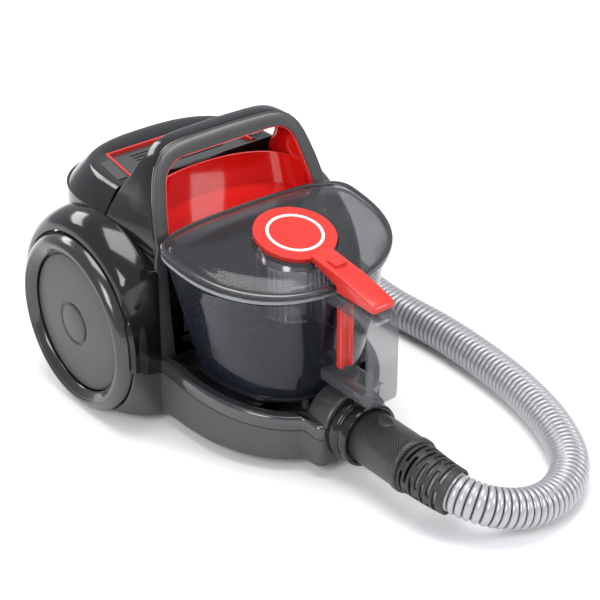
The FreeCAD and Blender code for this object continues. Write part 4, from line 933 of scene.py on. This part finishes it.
def egg(half, rear, front):
    """A closed plan with a blunt rear and a rounder front."""
    widest = rear + 0.24 * (front - rear)
    points = []
    for i in range(EGG_POINTS):
        angle = math.tau * i / EGG_POINTS
        cosine, sine = math.cos(angle), math.sin(angle)
        across, along, reach = (2.2, 2.4, front - widest) if sine >= 0 else (3.2, 3.2, widest - rear)
        points.append((half * math.copysign(abs(cosine) ** (2 / across), cosine),
                       widest + reach * math.copysign(abs(sine) ** (2 / along), sine)))
    return points


def mouth_z(ahead):
    """The height of the bin's slanting mouth."""
    return 202.0 + LID_SLOPE * (DISC_AHEAD - ahead)


def bin_row(share, inset=0.0, lift=0.0):
    """One level of the bin's wall: share 0 at its foot and 1 at its mouth."""
    plan = egg(80 + 35 * share - inset, 100 - 9 * share + inset, 231 + 13 * share - inset)
    return [at(x, ahead, BIN_LOW + (mouth_z(ahead) - BIN_LOW) * share + lift) for x, ahead in plan]


def bin_wall():
    """Up the outside, round the rim and down the inside."""
    rows = [bin_row(0, 1.2), bin_row(0, 0.4, 0.5), bin_row(0, 0, 1.6)]
    rows += [bin_row(share / 10) for share in range(1, 10)]
    rows += [bin_row(1, 0, -6.0), bin_row(1, -1.0, -5.2), bin_row(1, -1.3, -4.2), bin_row(1, -1.3, -1.0),
             bin_row(1, -0.8, -0.2), bin_row(1, 0.3, 0), bin_row(1, 1.6, 0), bin_row(1, 2.2, -0.8)]
    rows += [bin_row(share / 10, 2.3) for share in range(9, 0, -1)]
    rows += [bin_row(0, 2.3, 0.6), bin_row(0, 1.9, 0)]
    return lofted(rows + rows[:1], cap_first=False, cap_last=False)


LID_Z = 205.3
TILT = math.radians(7)


def on_lid(x, ahead, height):
    """A point on the lid, which slopes down to the front."""
    along = DISC_AHEAD - ahead
    return at(x, DISC_AHEAD - along * math.cos(TILT) + height * math.sin(TILT),
              LID_Z + along * math.sin(TILT) + height * math.cos(TILT))


def lid_row(inset, height):
    """One row round the lid, in from its edge and up from its plane."""
    return [on_lid(x, ahead, height) for x, ahead in egg(117 - inset, 86 + inset, 250.5 - inset)]


def lid_skin():
    """Under the rim, over its rounded edge, up the slope to the collar round the disc."""
    edge = ((5, -3), (0.6, -3), (0, -2.4), (0, 1.8), (0.6, 2.8), (1.6, 3.1), (4.6, 3.2), (5.4, 2.6),
            (6.2, 2.6), (7, 3.4), (14, 5.2), (21, 7.0), (27, 8.6), (30, 9))
    collar = ((47, 9.1), (43.8, 9.4), (43.5, 10.6), (42.9, 11), (42.2, 11), (41.9, 10.6), (41.9, 8))
    rows = [lid_row(inset, height) for inset, height in edge]
    ways = [math.atan2(ahead - DISC_AHEAD, x) for x, ahead in egg(80, 130, 216)]
    for radius, height in collar:
        rows.append([on_lid(radius * math.cos(way), DISC_AHEAD + radius * math.sin(way), height)
                     for way in ways])
    return lofted(rows, cap_first=False, cap_last=False)


piece("bin_wall", bin_wall(), bin_smoke, "bin", ["bin_body"])
piece("lid_skin", lid_skin(), lid_smoke, "lid", ["bin_lid"], smooth=32, wall=0.0022)


def rim_band(rows):
    """A closed band round the bin, through rows that go once round its section."""
    return lofted(rows + rows[:1], cap_first=False, cap_last=False)


LID_EDGE = ((-0.3, 1.4), (0.2, 3.0), (1.4, 3.7), (4.4, 3.8), (5.6, 3.3), (5.6, 2.6), (1.4, 2.6),
            (0.2, 1.4))
# The section of a ring just outside the bin's own rim, which carries the painted highlight along the mouth.
BIN_RIM_HIGHLIGHT = ((-2.0, -4.4), (-2.4, -3.6), (-2.4, -1.6), (-1.9, -0.9), (-1.35, -0.9), (-1.35, -4.4))
piece("lid_edge", rim_band([lid_row(inset, height) for inset, height in LID_EDGE]), lid_edge,
      "lid", [])
# A lighter ring round the outside of the bin's mouth: a painted highlight along the rim.
piece("bin_rim_painted_highlight", rim_band([bin_row(1, inset, lift) for inset, lift in BIN_RIM_HIGHLIGHT]), rim_painted_highlight,
      "bin", [])

GRIP_HALF = 16
# (ahead, height) of the outer and the inner face, from the top root round to the bottom one
GRIP_RUN = (
    ((236, 194), (236, 180)), ((285, 193), (285, 180)), ((298, 192), (291.5, 179)),
    ((305.5, 190), (296, 176.5)), ((310.3, 186), (298.5, 173)), ((312, 180), (299, 168)),
    ((312, 141), (299, 141)), ((312, 104), (299, 113)), ((310.5, 97), (298, 108)),
    ((306.5, 92.5), (295, 105)), ((300, 90.5), (290, 103)), ((232, 90.5), (232, 103)))
grip_rows = [[at(-GRIP_HALF, *outer), at(GRIP_HALF, *outer), at(GRIP_HALF, *inner),
              at(-GRIP_HALF, *inner)] for outer, inner in GRIP_RUN]
piece("grip_loop", soften(lofted(grip_rows), 0.0024, 3, 40), grip_smoke, "bin", ["bin_grip"])


# ---------------------------------------------------------------- red arm over the lid
ARM_HALF = 13


def lid_plane(ahead, lift):
    """A height above the lid's sloping plane."""
    return LID_Z + LID_SLOPE * (DISC_AHEAD - ahead) + lift


def arm():
    """A bar from the disc out over the grip, with a lip at its end."""
    root, underside = 213, 195.2
    top = [(root, lid_plane(root, 19)), (232.5, lid_plane(232.5, 19)), (262, 213.6), (284, 208.6),
           (300, 205.0), (306, 202.4), (308, 199.5)]
    under = [(307, underside), (252.5, underside), (251.5, lid_plane(251.5, 6)),
             (root, lid_plane(root, 12))]
    rows = [[at(x, ahead, z) for ahead, z in top + under] for x in (-ARM_HALF, ARM_HALF)]
    return soften(lofted(rows), 0.0014, 3, 30)


piece("arm_bar", arm(), satin_red, "lid", ["lid_arm"])


def rod():
    """The red push rod: a flat bar with two ribs down its front."""
    section = [(-8, 247.5), (-8, 254), (-6.8, 255), (-4.2, 255), (-3, 252.6), (3, 252.6),
               (4.2, 255), (6.8, 255), (8, 254), (8, 247.5)]
    rows = [[at(x, ahead, z) for x, ahead in section] for z in (108.5, 120, 150, 178.5)]
    return soften(lofted(rows), 0.0008, 2, 40)


piece("rod_bar", rod(), satin_red, "flap_rod", ["push_rod"])
